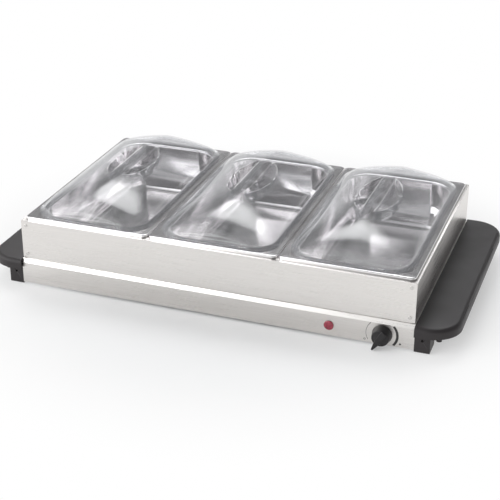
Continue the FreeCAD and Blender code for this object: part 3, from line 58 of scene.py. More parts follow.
WELD = 0.001 * MM
log = logging.getLogger("buffet_server")

Socket = bpy.types.NodeSocket
Node = bpy.types.Node
Tree = bpy.types.NodeTree


# ------------------------------------------------------------------ colours and nodes
def linear(code: str) -> tuple[float, float, float, float]:
    """Turn an sRGB hex colour into a linear one.

    Args:
        code: six hex digits after a hash.

    Returns:
        Linear red, green, blue and an alpha of 1.
    """
    parts = [int(code[place:place + 2], 16) / 255 for place in (1, 3, 5)]
    red, green, blue = (part / 12.92 if part <= 0.04045 else ((part + 0.055) / 1.055) ** 2.4
                        for part in parts)
    return red, green, blue, 1.0


def cells(size_mm: float) -> float:
    """Return the scale of a pattern whose cells have a real width in millimetres."""
    return 1 / (size_mm * MM)


def add_node(tree: Tree, kind: str, settings: dict[str, Any] | None = None,
             inputs: dict[str | int, Any] | None = None) -> Node:
    """Add one node with its settings, values and links.

    Args:
        tree: the material's or the world's node tree.
        kind: the node's type, without the ShaderNode prefix.
        settings: the node's own properties.
        inputs: for each named or numbered input, a value, a socket, or a node whose first
            output is linked.

    Returns:
        The new node.
    """
    node = tree.nodes.new("ShaderNode" + kind)
    for name, value in (settings or {}).items():
        setattr(node, name, value)
    for name, value in (inputs or {}).items():
        source = value.outputs[0] if isinstance(value, Node) else value
        if isinstance(source, Socket):
            tree.links.new(source, node.inputs[name])
        else:
            node.inputs[name].default_value = source
    return node


# nearly all of a noise's factor lies between these, so they are what a range is mapped from
NOISE_SPAN = {"From Min": 0.3, "From Max": 0.7}
COLOURS = {"data_type": "RGBA"}
SOFT_ENDS = {"interpolation_type": "SMOOTHSTEP"}


class Grain(Enum):
    """The way that a brushed surface's lines run."""

    ALONG_X = (0.0, 0.0, 0.0)
    ALONG_Y = (0.0, 0.0, QUARTER_TURN)


@dataclass(frozen=True)
class Finish(ABC):
    """A surface finish, made once as a material and shared by the pieces that have it."""

    title: str

    @abstractmethod
    def shade(self, tree: Tree, place: Socket) -> Node:
        """Build the finish's nodes.

        Args:
            tree: the material's node tree.
            place: the Object coordinate, which is the row frame in metres.

        Returns:
            The shader.
        """

    def material(self) -> bpy.types.Material:
        """Return the finish's material, making it the first time."""
        made = bpy.data.materials.get(self.title)
        if made is not None:
            return made
        made = bpy.data.materials.new(self.title)
        made.use_nodes = True
        tree = made.node_tree
        tree.nodes.clear()
        place = add_node(tree, "TexCoord").outputs["Object"]
        add_node(tree, "OutputMaterial", None, {"Surface": self.shade(tree, place)})
        return made


@dataclass(frozen=True)
class BrushedStainless(Finish):
    """Grade 430 stainless sheet, belt-brushed: fine lines that smear what it mirrors one way."""

    light: str = "#EAE7E4"
    dark: str = "#DAD7D4"
    grain: Grain = Grain.ALONG_X
    smooth: float = 0.24
    rough: float = 0.38
    smear: float = 0.55
    about: str = "Z"
    line_mm: float = 0.6
    line_shortening: float = 0.012
    line_depth_mm: float = 0.04
    wear_mm: float = 70.0
    wear_share: float = 0.35

    def shade(self, tree: Tree, place: Socket) -> Node:
        """Lines drawn coarser than the real 0.1 mm so that they show, and faint cloudy wear."""
        turned = add_node(tree, "Mapping", None, {"Vector": place, "Rotation": self.grain.value})
        stretched = add_node(tree, "Mapping", None, {
            "Vector": turned, "Scale": (self.line_shortening, 1.0, 1.0)})
        lines = add_node(tree, "TexNoise", None, {
            "Vector": stretched, "Scale": cells(self.line_mm), "Detail": 3.0})
        wear = add_node(tree, "TexNoise", None, {
            "Vector": place, "Scale": cells(self.wear_mm), "Detail": 3.0})
        sheen = add_node(tree, "Math", {"operation": "MULTIPLY_ADD"}, {
            0: wear, 1: self.wear_share, 2: lines})
        roughness = add_node(tree, "MapRange", None, {
            "Value": sheen, "From Min": 0.4, "From Max": 0.95,
            "To Min": self.smooth, "To Max": self.rough})
        colour = add_node(tree, "Mix", COLOURS, {
            0: lines, 6: linear(self.dark), 7: linear(self.light)})
        tangent = add_node(tree, "Tangent", {"direction_type": "RADIAL", "axis": self.about})
        relief = add_node(tree, "Bump", None, {
            "Height": lines, "Strength": 0.05, "Distance": self.line_depth_mm * MM})
        return add_node(tree, "BsdfPrincipled", None, {
            "Base Color": colour.outputs[2], "Metallic": 1.0, "Roughness": roughness,
            "Anisotropic": self.smear, "Tangent": tangent, "Normal": relief})


@dataclass(frozen=True)
class DrawnStainless(Finish):
    """Deep-drawn stainless, buffed bright: near-mirror with a faint haze, uneven from the press."""

    light: str = "#F0EEEF"
    dark: str = "#EAE8E9"
    smooth: float = 0.13
    rough: float = 0.18
    cloud_mm: float = 40.0
    wave_depth_mm: float = 0.22
    scuff_mm: float = 0.9
    scuff_share: float = 0.02

    def shade(self, tree: Tree, place: Socket) -> Node:
        """Clouds of buffing haze over long shallow draw waves, with fine scuffs."""
        haze = add_node(tree, "TexNoise", None, {
            "Vector": place, "Scale": cells(self.cloud_mm), "Detail": 3.0})
        waves = add_node(tree, "TexNoise", None, {
            "Vector": place, "Scale": cells(self.cloud_mm), "Detail": 1.0})
        scuffs = add_node(tree, "TexNoise", None, {
            "Vector": place, "Scale": cells(self.scuff_mm), "Detail": 2.0})
        height = add_node(tree, "Math", {"operation": "MULTIPLY_ADD"}, {
            0: scuffs, 1: self.scuff_share, 2: waves})
        colour = add_node(tree, "Mix", COLOURS, {
            0: haze, 6: linear(self.dark), 7: linear(self.light)})
        roughness = add_node(tree, "MapRange", None, {
            "Value": haze, **NOISE_SPAN, "To Min": self.smooth, "To Max": self.rough})
        relief = add_node(tree, "Bump", None, {
            "Height": height, "Strength": 0.20, "Distance": self.wave_depth_mm * MM})
        return add_node(tree, "BsdfPrincipled", None, {
            "Base Color": colour.outputs[2], "Metallic": 1.0, "Roughness": roughness,
            "Normal": relief})


@dataclass(frozen=True)
class ClearPolycarbonate(Finish):
    """Clear moulded polycarbonate: sharp reflections, and a painted grey shade where the wall is seen
    edge-on, for the dark lines that refraction draws there.
    """

    clear: str = "#FDFDFD"
    # edge: the painted grey shade of a wall seen edge-on, which stands in for refraction's dark lines
    edge: str = "#B2B2B7"
    milk: str = "#F2F4F6"
    haze: float = 0.06
    pair_index: float = 1.7
    edge_blend: float = 0.12
    smooth: float = 0.05
    rough: float = 0.10
    flow_mm: float = 18.0

    def shade(self, tree: Tree, place: Socket) -> Node:
        """A thin wall passes light almost unbent, and mirrors once for both of its faces."""
        # painted shade: the clear colour turns grey towards edge-on walls, in place of the dark lines
        # that refraction draws there
        slant = add_node(tree, "LayerWeight", None, {"Blend": self.edge_blend})
        edge_shade = add_node(tree, "Mix", COLOURS, {
            0: slant.outputs["Facing"], 6: linear(self.clear), 7: linear(self.edge)})
        through = add_node(tree, "BsdfTransparent", None, {"Color": edge_shade.outputs[2]})
        flow = add_node(tree, "TexNoise", None, {
            "Vector": place, "Scale": cells(self.flow_mm), "Detail": 2.0})
        roughness = add_node(tree, "MapRange", None, {
            "Value": flow, **NOISE_SPAN, "To Min": self.smooth, "To Max": self.rough})
        skin = add_node(tree, "BsdfAnisotropic", None, {
            "Color": linear("#FFFFFF"), "Roughness": roughness})
        index = add_node(tree, "Fresnel", None, {"IOR": self.pair_index})
        inside = add_node(tree, "NewGeometry").outputs["Backfacing"]
        outside = add_node(tree, "Math", {"operation": "SUBTRACT"}, {0: 1.0, 1: inside})
        mirrored = add_node(tree, "Math", {"operation": "MULTIPLY"}, {0: index, 1: outside})
        wall = add_node(tree, "MixShader", None, {0: mirrored, 1: through, 2: skin})
        milk = add_node(tree, "BsdfDiffuse", None, {"Color": linear(self.milk)})
        return add_node(tree, "MixShader", None, {0: self.haze, 1: wall, 2: milk})


@dataclass(frozen=True)
class MouldedPlastic(Finish):
    """Heat-resistant moulded plastic, spark-eroded: satin charcoal with a soft sheen."""

    light: str = "#353132"
    dark: str = "#292627"
    smooth: float = 0.40
    rough: float = 0.54
    grit_mm: float = 0.9
    shine: float = 0.34
    shade_mm: float = 45.0

    def shade(self, tree: Tree, place: Socket) -> Node:
        """A fine grit, about twice its real size so that it shows, over slow shade changes."""
        grit = add_node(tree, "TexNoise", None, {
            "Vector": place, "Scale": cells(self.grit_mm), "Detail": 2.0})
        slow = add_node(tree, "TexNoise", None, {
            "Vector": place, "Scale": cells(self.shade_mm), "Detail": 2.0})
        colour = add_node(tree, "Mix", COLOURS, {
            0: slow, 6: linear(self.dark), 7: linear(self.light)})
        roughness = add_node(tree, "MapRange", None, {
            "Value": slow, **NOISE_SPAN, "To Min": self.smooth, "To Max": self.rough})
        relief = add_node(tree, "Bump", None, {
            "Height": grit, "Strength": 0.22, "Distance": 0.08 * MM})
        return add_node(tree, "BsdfPrincipled", None, {
            "Base Color": colour.outputs[2], "IOR": 1.5, "Roughness": roughness,
            "Specular IOR Level": self.shine, "Normal": relief})


@dataclass(frozen=True)
class SpeckledMatt(Finish):
    """A matt or satin stuff with fine specks, for rubber, ceramic, ink and wire insulation."""

    light: str = "#1F1F1F"
    dark: str = "#151515"
    smooth: float = 0.6
    rough: float = 0.8
    speck_mm: float = 0.8
    ior: float = 1.5

    def shade(self, tree: Tree, place: Socket) -> Node:
        """Specks in colour, roughness and relief at one real size."""
        specks = add_node(tree, "TexNoise", None, {
            "Vector": place, "Scale": cells(self.speck_mm), "Detail": 3.0})
        colour = add_node(tree, "Mix", COLOURS, {
            0: specks, 6: linear(self.dark), 7: linear(self.light)})
        roughness = add_node(tree, "MapRange", None, {
            "Value": specks, **NOISE_SPAN, "To Min": self.smooth, "To Max": self.rough})
        relief = add_node(tree, "Bump", None, {
            "Height": specks, "Strength": 0.2, "Distance": 0.08 * MM})
        return add_node(tree, "BsdfPrincipled", None, {
            "Base Color": colour.outputs[2], "IOR": self.ior, "Roughness": roughness,
            "Normal": relief})


@dataclass(frozen=True)
class PlainMetal(Finish):
    """Plated, milled or oxidised metal: mottled colour and roughness with a faint grain."""

    light: str = "#C9CBCD"
    dark: str = "#B4B5B6"
    smooth: float = 0.28
    rough: float = 0.45
    mottle_mm: float = 4.0

    def shade(self, tree: Tree, place: Socket) -> Node:
        """Mottling at one real size, with a quarter-size grain as relief."""
        mottle = add_node(tree, "TexNoise", None, {
            "Vector": place, "Scale": cells(self.mottle_mm), "Detail": 3.0})
        grain = add_node(tree, "TexNoise", None, {
            "Vector": place, "Scale": cells(self.mottle_mm / 4), "Detail": 2.0})
        colour = add_node(tree, "Mix", COLOURS, {
            0: mottle, 6: linear(self.dark), 7: linear(self.light)})
        roughness = add_node(tree, "MapRange", None, {
            "Value": mottle, **NOISE_SPAN, "To Min": self.smooth, "To Max": self.rough})
        relief = add_node(tree, "Bump", None, {
            "Height": grain, "Strength": 0.15, "Distance": 0.04 * MM})
        return add_node(tree, "BsdfPrincipled", None, {
            "Base Color": colour.outputs[2], "Metallic": 1.0, "Roughness": roughness,
            "Normal": relief})


@dataclass(frozen=True)
class RedLens(Finish):
    """Transparent red moulding over a small lamp: wine red, with the light that its inner prisms
    catch painted on as lighter and darker cells.
    """

    # light and dark: the painted glint and painted shade colours of the prism cells
    light: str = "#A8324A"
    dark: str = "#6E1526"
    smooth: float = 0.10
    rough: float = 0.22
    prism_mm: float = 1.6

    def shade(self, tree: Tree, place: Socket) -> Node:
        """Prism facets as cells, each with a painted glint at its middle and painted shade at its
        edge, under a glossy skin; the bump gives the facets' relief.
        """
        prisms = add_node(tree, "TexVoronoi", None, {
            "Vector": place, "Scale": cells(self.prism_mm)})
        # painted light: each prism cell is lighter at its middle as a painted glint and darker at its
        # edge as painted shade
        depth = add_node(tree, "MapRange", None, {
            "Value": prisms, **NOISE_SPAN, "To Min": 0.0, "To Max": 1.0})
        colour = add_node(tree, "Mix", COLOURS, {
            0: depth, 6: linear(self.light), 7: linear(self.dark)})
        roughness = add_node(tree, "MapRange", None, {
            "Value": prisms, **NOISE_SPAN, "To Min": self.smooth, "To Max": self.rough})
        relief = add_node(tree, "Bump", None, {
            "Height": prisms, "Strength": 0.35, "Distance": 0.15 * MM})
        return add_node(tree, "BsdfPrincipled", None, {
            "Base Color": colour.outputs[2], "Roughness": roughness, "IOR": 1.49,
            "Coat Weight": 0.6, "Coat Roughness": 0.05, "Normal": relief})


@dataclass(frozen=True)
class StudioPaper(Finish):
    """White background paper, matt under the object and lit from within past it, to stay white."""

    light: str = "#F9F9F9"
    dark: str = "#F6F6F6"
    fibre_mm: float = 40.0
    lit_from: float = 0.16
    lit_past: float = 0.48

    def shade(self, tree: Tree, place: Socket) -> Node:
        """Blend from plain paper to lit paper with the distance from the middle."""
        fibre = add_node(tree, "TexNoise", None, {
            "Vector": place, "Scale": cells(self.fibre_mm), "Detail": 3.0})
        colour = add_node(tree, "Mix", COLOURS, {
            0: fibre, 6: linear(self.dark), 7: linear(self.light)})
        paper = add_node(tree, "BsdfDiffuse", None, {"Color": colour.outputs[2], "Roughness": 0.5})
        reach = add_node(tree, "VectorMath", {"operation": "LENGTH"}, {0: place})
        share = add_node(tree, "MapRange", SOFT_ENDS, {
            "Value": reach.outputs["Value"], "From Min": self.lit_from, "From Max": self.lit_past})
        lit = add_node(tree, "Emission", None, {"Color": linear("#FFFFFF"), "Strength": 1.0})
        return add_node(tree, "MixShader", None, {0: share, 1: paper, 2: lit})


BASE_STEEL = BrushedStainless("brushed_stainless_base")
SIDE_STEEL = BrushedStainless("brushed_stainless_side", grain=Grain.ALONG_Y)
FRONT_STEEL = BrushedStainless("brushed_stainless_front")
PLATE_STEEL = BrushedStainless("brushed_stainless_plate", smooth=0.20, rough=0.34, about="Y")
PAN_STEEL = DrawnStainless("drawn_stainless_pan")
LID_CLEAR = ClearPolycarbonate("clear_polycarbonate_lid")
HANDLE_PLASTIC = MouldedPlastic("textured_phenolic_handle")
KNOB_PLASTIC = MouldedPlastic("moulded_phenolic_knob", "#2A2829", "#1C1B1C",
                              smooth=0.30, rough=0.42, grit_mm=0.7)
GLAND_PLASTIC = MouldedPlastic("moulded_nylon_gland", "#2E2D2E", "#222122",
                               smooth=0.40, rough=0.55, grit_mm=0.8)
PAD_RUBBER = SpeckledMatt("moulded_rubber_pad")
ZINC_STEEL = PlainMetal("zinc_plated_steel")
COVER_STEEL = PlainMetal("galvanised_cover", "#C2C5C7", "#A9ACAF",
                         smooth=0.38, rough=0.55, mottle_mm=14.0)
RIVET_STEEL = PlainMetal("stainless_rivet", "#DAD8D5", "#C6C4C1",
                         smooth=0.22, rough=0.34, mottle_mm=1.5)
SHIELD_ALUMINIUM = PlainMetal("mill_aluminium", "#D6D8DA", "#C2C4C7",
                              smooth=0.25, rough=0.40, mottle_mm=9.0)
SHEATH_STEEL = PlainMetal("oxidised_sheath", "#5C5A55", "#3F3D3A",
                          smooth=0.45, rough=0.65, mottle_mm=3.0)
TURNED_BRASS = PlainMetal("turned_brass", "#D2B26A", "#B8964F",
                          smooth=0.25, rough=0.40, mottle_mm=2.0)
STEATITE = SpeckledMatt("steatite_ceramic", "#EDE9DF", "#DAD5C8",
                        smooth=0.45, rough=0.65, speck_mm=1.2, ior=1.6)
LAMP_GLASS = SpeckledMatt("frosted_lamp_glass", "#F2C9B4", "#E2AF97",
                          smooth=0.12, rough=0.25, speck_mm=1.0)
LENS_RED = RedLens("red_acrylic_lens")
WIRE_BROWN = SpeckledMatt("brown_insulation", "#5A3320", "#482818",
                          smooth=0.35, rough=0.5, speck_mm=1.0)
WIRE_BLUE = SpeckledMatt("blue_insulation", "#2B4E93", "#213F7C",
                         smooth=0.35, rough=0.5, speck_mm=1.0)
WIRE_GREEN = SpeckledMatt("green_insulation", "#3F7F33", "#336B2A",
                          smooth=0.35, rough=0.5, speck_mm=1.0)
DIAL_INK = SpeckledMatt("screen_print_ink", "#3A3838", "#2A2929",
                        smooth=0.45, rough=0.6, speck_mm=0.6)


# ------------------------------------------------------------------ meshing by operators
def deselect() -> None:
    """Leave nothing selected in object mode."""
    bpy.ops.object.select_all(action="DESELECT")


def pick(piece: bpy.types.Object) -> None:
    """Make one piece the only selected and active object."""
    deselect()
    piece.select_set(True)
    bpy.context.view_layer.objects.active = piece


def edit(piece: bpy.types.Object, mode: str = "FACE") -> None:
    """Enter edit mode on one piece with nothing selected."""
    pick(piece)
    bpy.ops.object.mode_set(mode="EDIT")
    bpy.ops.mesh.select_mode(type=mode)
    bpy.ops.mesh.select_all(action="DESELECT")


def leave_edit() -> None:
    """Return to object mode."""
    bpy.ops.object.mode_set(mode="OBJECT")


def select_faces(piece: bpy.types.Object, wanted: Callable[[Vector, Vector], bool]) -> None:
    """Select faces by their middle and their normal.

    Args:
        piece: the object being edited.
        wanted: a test of a face's centre and normal.
    """
    leave_edit()
    for polygon in piece.data.polygons:
        polygon.select = wanted(polygon.center, polygon.normal)
    bpy.ops.object.mode_set(mode="EDIT")


def select_edges(piece: bpy.types.Object, wanted: Callable[[Vector, Vector], bool]) -> None:
    """Select edges by their two ends.

    Args:
        piece: the object being edited.
        wanted: a test of an edge's two points.
    """
    leave_edit()
    points = piece.data.vertices
    for edge in piece.data.edges:
        edge.select = wanted(points[edge.vertices[0]].co, points[edge.vertices[1]].co)
    bpy.ops.object.mode_set(mode="EDIT")


def smooth(piece: bpy.types.Object, degrees: float = 30.0) -> None:
    """Shade a piece smooth except across sharp edges."""
    pick(piece)
    bpy.ops.object.shade_smooth_by_angle(angle=math.radians(degrees))


def apply_modifier(piece: bpy.types.Object, kind: str, **settings: Any) -> None:
    """Add a modifier with its settings and apply it.

    Args:
        piece: the object to change.
        kind: the modifier's type.
        settings: the modifier's own properties.
    """
    pick(piece)
    modifier = piece.modifiers.new(kind.title(), kind)
    for name, value in settings.items():
        setattr(modifier, name, value)
    bpy.ops.object.modifier_apply(modifier=modifier.name)


def settle(piece: bpy.types.Object) -> None:
    """Move a piece's place, turn and scale into its mesh."""
    pick(piece)
    bpy.ops.object.transform_apply(location=True, rotation=True, scale=True)


def join(pieces: Sequence[bpy.types.Object], name: str) -> bpy.types.Object:
    """Join pieces into one object with a name, at the origin.

    Args:
        pieces: the objects to join.
        name: the joined object's name.

    Returns:
        The joined object.
    """
    for piece in pieces:
        settle(piece)
    deselect()
    for piece in pieces:
        piece.select_set(True)
    bpy.context.view_layer.objects.active = pieces[0]
    bpy.ops.object.join()
    joined = bpy.context.active_object
    joined.name = name
    return joined


def copy_of(piece: bpy.types.Object, place: Matrix) -> bpy.types.Object:
    """Copy a piece with its own mesh, moved and turned to a place."""
    twin = piece.copy()
    twin.data = piece.data.copy()
    twin.data.transform(place)
    bpy.context.scene.collection.objects.link(twin)
    return twin


def dress(piece: bpy.types.Object, finish: Finish) -> None:
    """Give a piece one finish all over."""
    piece.data.materials.clear()
    piece.data.materials.append(finish.material())


@dataclass
class Assembly(ABC):
    """A sub-assembly: it builds its own pieces and dresses the CAD nodes that it keeps."""

    name: str

    @abstractmethod
    def build(self) -> None:
        """Build and dress the sub-assembly."""

    def keep(self, finish: Finish, *nodes: str) -> None:
        """Keep CAD nodes as they are and give them a finish.

        Args:
            finish: the surface finish.
            nodes: the names of the CAD nodes.
        """
        for node in nodes:
            dress(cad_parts[node], finish)
            log.info("%s: kept %s as %s", self.name, node, finish.title)

    def mount(self, piece: bpy.types.Object, body: str, finish: Finish, slot: str,
              *nodes: str) -> None:
        """Ride a new piece on a body and let it stand for CAD nodes.

        Args:
            piece: the finished object.
            body: the CAD body that it moves with.
            finish: the surface finish.
            slot: the record's material slot; not used.
            nodes: the CAD nodes that it replaces.
        """
        dress(piece, finish)
        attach(piece, body)
        if nodes:
            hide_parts(*nodes)
        log.info("%s: built %s on %s", self.name, piece.name, body)

    def sewn_copy(self, node: str, title: str, degrees: float = 30.0) -> bpy.types.Object:
        """Copy a CAD node's mesh, merge its loose triangles and shade it smooth.

        Args:
            node: the CAD node.
            title: the new piece's name.
            degrees: the angle past which an edge stays sharp.

        Returns:
            The smooth copy, at the origin.
        """
        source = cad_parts[node]
        piece = bpy.data.objects.new(title, source.data.copy())
        bpy.context.scene.collection.objects.link(piece)
        edit(piece, "VERT")
        bpy.ops.mesh.select_all(action="SELECT")
        bpy.ops.mesh.remove_doubles(threshold=WELD)
        leave_edit()
        smooth(piece, degrees)
        return piece


# ------------------------------------------------------------------ fasteners
def spaced(start: float, end: float, count: int) -> list[float]:
    """Return evenly spaced numbers with both ends."""
    return [start + (end - start) * index / (count - 1) for index in range(count)]


def top_of(piece: bpy.types.Object) -> float:
    """Return the highest Z of a piece's mesh."""
    return max(point.co.z for point in piece.data.vertices)


@dataclass
class PanHeadScrew:
    """A cross-recess pan-head screw: a rounded head, and a shank that tapers to a blunt point."""

    head: float = 6.5 * MM
    rise: float = 1.6 * MM
    shank: float = 3.5 * MM
    length: float = 6.0 * MM
    straight_share: float = 0.8
    point_share: float = 0.55
    round_share: float = 0.55
    recess_length: float = 0.52
    recess_width: float = 0.13
    recess_depth: float = 0.55

    def model(self) -> bpy.types.Object:
        """Model the screw, head down on the origin and shank up, outside the scene's collection."""
        deselect()
        bpy.ops.mesh.primitive_cylinder_add(vertices=32, radius=self.head / 2, depth=self.rise,
                                            location=(0.0, 0.0, self.rise / 2))
        screw = bpy.context.active_object
        settle(screw)
        edit(screw)
        select_faces(screw, lambda centre, normal: normal.z > 0.9)
        bpy.ops.mesh.inset(thickness=(self.head - self.shank) / 2)
        for share in (self.straight_share, 1 - self.straight_share):
            step = (0.0, 0.0, self.length * share)
            bpy.ops.mesh.extrude_region_move(TRANSFORM_OT_translate={"value": step})
        bpy.ops.transform.resize(value=(self.point_share, self.point_share, 1.0))
        select_edges(screw, lambda first, last: max(first.z, last.z) < self.rise * 0.01)
        bpy.ops.mesh.bevel(offset=self.rise * self.round_share, segments=4)
        leave_edit()
        for turn in (0.0, QUARTER_TURN):
            self.cut_slot(screw, turn)
        bpy.context.scene.collection.objects.unlink(screw)
        return screw

    def cut_slot(self, screw: bpy.types.Object, turn: float) -> None:
        """Cut one slot of the cross recess across the head, at a turn about its axis."""
        deselect()
        bpy.ops.mesh.primitive_cube_add(size=1.0, rotation=(0.0, 0.0, turn))
        blade = bpy.context.active_object
        blade.scale = (self.head * self.recess_length, self.head * self.recess_width,
                       self.rise * self.recess_depth * 2)
        settle(blade)
        apply_modifier(screw, "BOOLEAN", operation="DIFFERENCE", object=blade, solver="EXACT")
        bpy.data.objects.remove(blade)


# ------------------------------------------------------------------ heated base
@dataclass
class HeatedBase(Assembly):
    """Folded base housing with its plate, cover, handles and feet."""

    screw: PanHeadScrew = field(default_factory=PanHeadScrew)
    screws_along_cover: int = 4
    screws_in_handle: int = 3

    def build(self) -> None:
        """Dress the sheet-metal pieces, and build the smooth mouldings and the screws."""
        self.keep(BASE_STEEL, "base_housing")
        self.keep(COVER_STEEL, "bottom_cover")
        plate = self.sewn_copy("warming_plate", "warming_plate_pressing")
        self.mount(plate, "root", PLATE_STEEL, "stainless_steel", "warming_plate")
        for side in ("left", "right"):
            handle = self.sewn_copy(f"handle_{side}", f"handle_{side}_moulding", 24.0)
            self.mount(handle, "root", HANDLE_PLASTIC, "black_plastic", f"handle_{side}")
            for end in ("front", "rear"):
                self.keep(PAD_RUBBER, f"foot_pad_{end}_{side}")
        model = self.screw.model()
        self.drive("cover_screws", model, self.cover_places(), "bottom_cover_screws")
        self.drive("handle_screw_set", model, self.handle_places(), "handle_screws")

    def drive(self, title: str, model: bpy.types.Object, places: list[Matrix], node: str) -> None:
        """Drive a copy of the screw at each place, for one CAD node of screws.

        Args:
            title: the set's name.
            model: the screw, head on the origin and shank up.
            places: where each screw goes.
            node: the CAD node that the set replaces.
        """
        screws = join([copy_of(model, place) for place in places], title)
        smooth(screws)
        self.mount(screws, "root", ZINC_STEEL, "zinc_steel", node)

    def cover_places(self) -> list[Matrix]:
        """Return the places of the cover's screws, in two rows with their heads down."""
        low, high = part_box("bottom_cover_screws")
        inset = self.screw.head / 2
        columns = spaced(low.x + inset, high.x - inset, self.screws_along_cover)
        return [Matrix.Translation((x, y, low.z))
                for y in (low.y + inset, high.y - inset) for x in columns]

    def handle_places(self) -> list[Matrix]:
        """Return the places of the handles' screws, with their heads towards the fingers."""
        low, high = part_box("handle_screws")
        inset = self.screw.head / 2
        middle = (low.z + high.z) / 2
        rows = spaced(low.y + inset, high.y - inset, self.screws_in_handle)
        return [Matrix.Translation((x, y, middle)) @ Matrix.Rotation(turn, 4, "Y")
                for x, turn in ((low.x, QUARTER_TURN), (high.x, -QUARTER_TURN)) for y in rows]


@dataclass
class ServingFrame(Assembly):
    """Lift-off frame of folded panels, rivets and crossbars."""

    rivet_radius: float = 2.3 * MM
    rivet_rise: float = 0.7 * MM
    crown_inset: float = 0.25
    crown_rise: float = 0.25
    edge_round: float = 0.6

    def build(self) -> None:
        """Dress the panels with the grain along each one, and the rivets."""
        self.keep(FRONT_STEEL, "frame_front_panel", "frame_rear_panel")
        self.keep(SIDE_STEEL, "frame_left_panel", "frame_right_panel",
                  "crossbar_left", "crossbar_right")
        head = self.rivet_head()
        heads = join([copy_of(head, place) for place in self.rivet_places()], "domed_rivets")
        bpy.data.objects.remove(head)
        smooth(heads)
        self.mount(heads, "tray_frame", RIVET_STEEL, "zinc_steel", "frame_rivets")

    def rivet_head(self) -> bpy.types.Object:
        """Model one domed head about the origin, crowned up and rounded at its edges."""
        deselect()
        bpy.ops.mesh.primitive_cylinder_add(vertices=28, radius=self.rivet_radius,
                                            depth=self.rivet_rise)
        head = bpy.context.active_object
        edit(head)
        select_faces(head, lambda centre, normal: normal.z > 0.9)
        bpy.ops.mesh.inset(thickness=self.rivet_radius * self.crown_inset)
        bpy.ops.transform.translate(value=(0.0, 0.0, self.rivet_rise * self.crown_rise))
        leave_edit()
        apply_modifier(head, "BEVEL", width=self.rivet_rise * self.edge_round, segments=4,
                       angle_limit=math.radians(20))
        flatten = self.rivet_rise / top_of(head) / 2
        head.data.transform(Matrix.Scale(flatten, 4, Vector((0.0, 0.0, 1.0))))
        return head

    def rivet_places(self) -> list[Matrix]:
        """Return the places at the corners of the front and rear panels, crowns outwards."""
        low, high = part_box("frame_rivets")
        places = []
        for side, face in ((-1, low.y), (1, high.y)):
            turn = Matrix.Rotation(-QUARTER_TURN * side, 4, "X")
            middle = face - self.rivet_rise / 2 * side
            places += [Matrix.Translation((x, middle, z)) @ turn
                       for x in (low.x + self.rivet_radius, high.x - self.rivet_radius)
                       for z in (low.z + self.rivet_radius, high.z - self.rivet_radius)]
        return places


@dataclass
class FoodService(Assembly):
    """One pan with its clear lid."""

    place: str

    def build(self) -> None:
        """Build the drawn pan and the clear lid."""
        pan = self.sewn_copy(f"pan_{self.place}", f"pan_{self.place}_pressing")
        self.mount(pan, f"pan_{self.place}_body", PAN_STEEL, "pan_steel", f"pan_{self.place}")
        lid = self.sewn_copy(f"lid_{self.place}", f"lid_{self.place}_moulding", 28.0)
        self.mount(lid, f"lid_{self.place}_body", LID_CLEAR, "clear_plastic", f"lid_{self.place}")


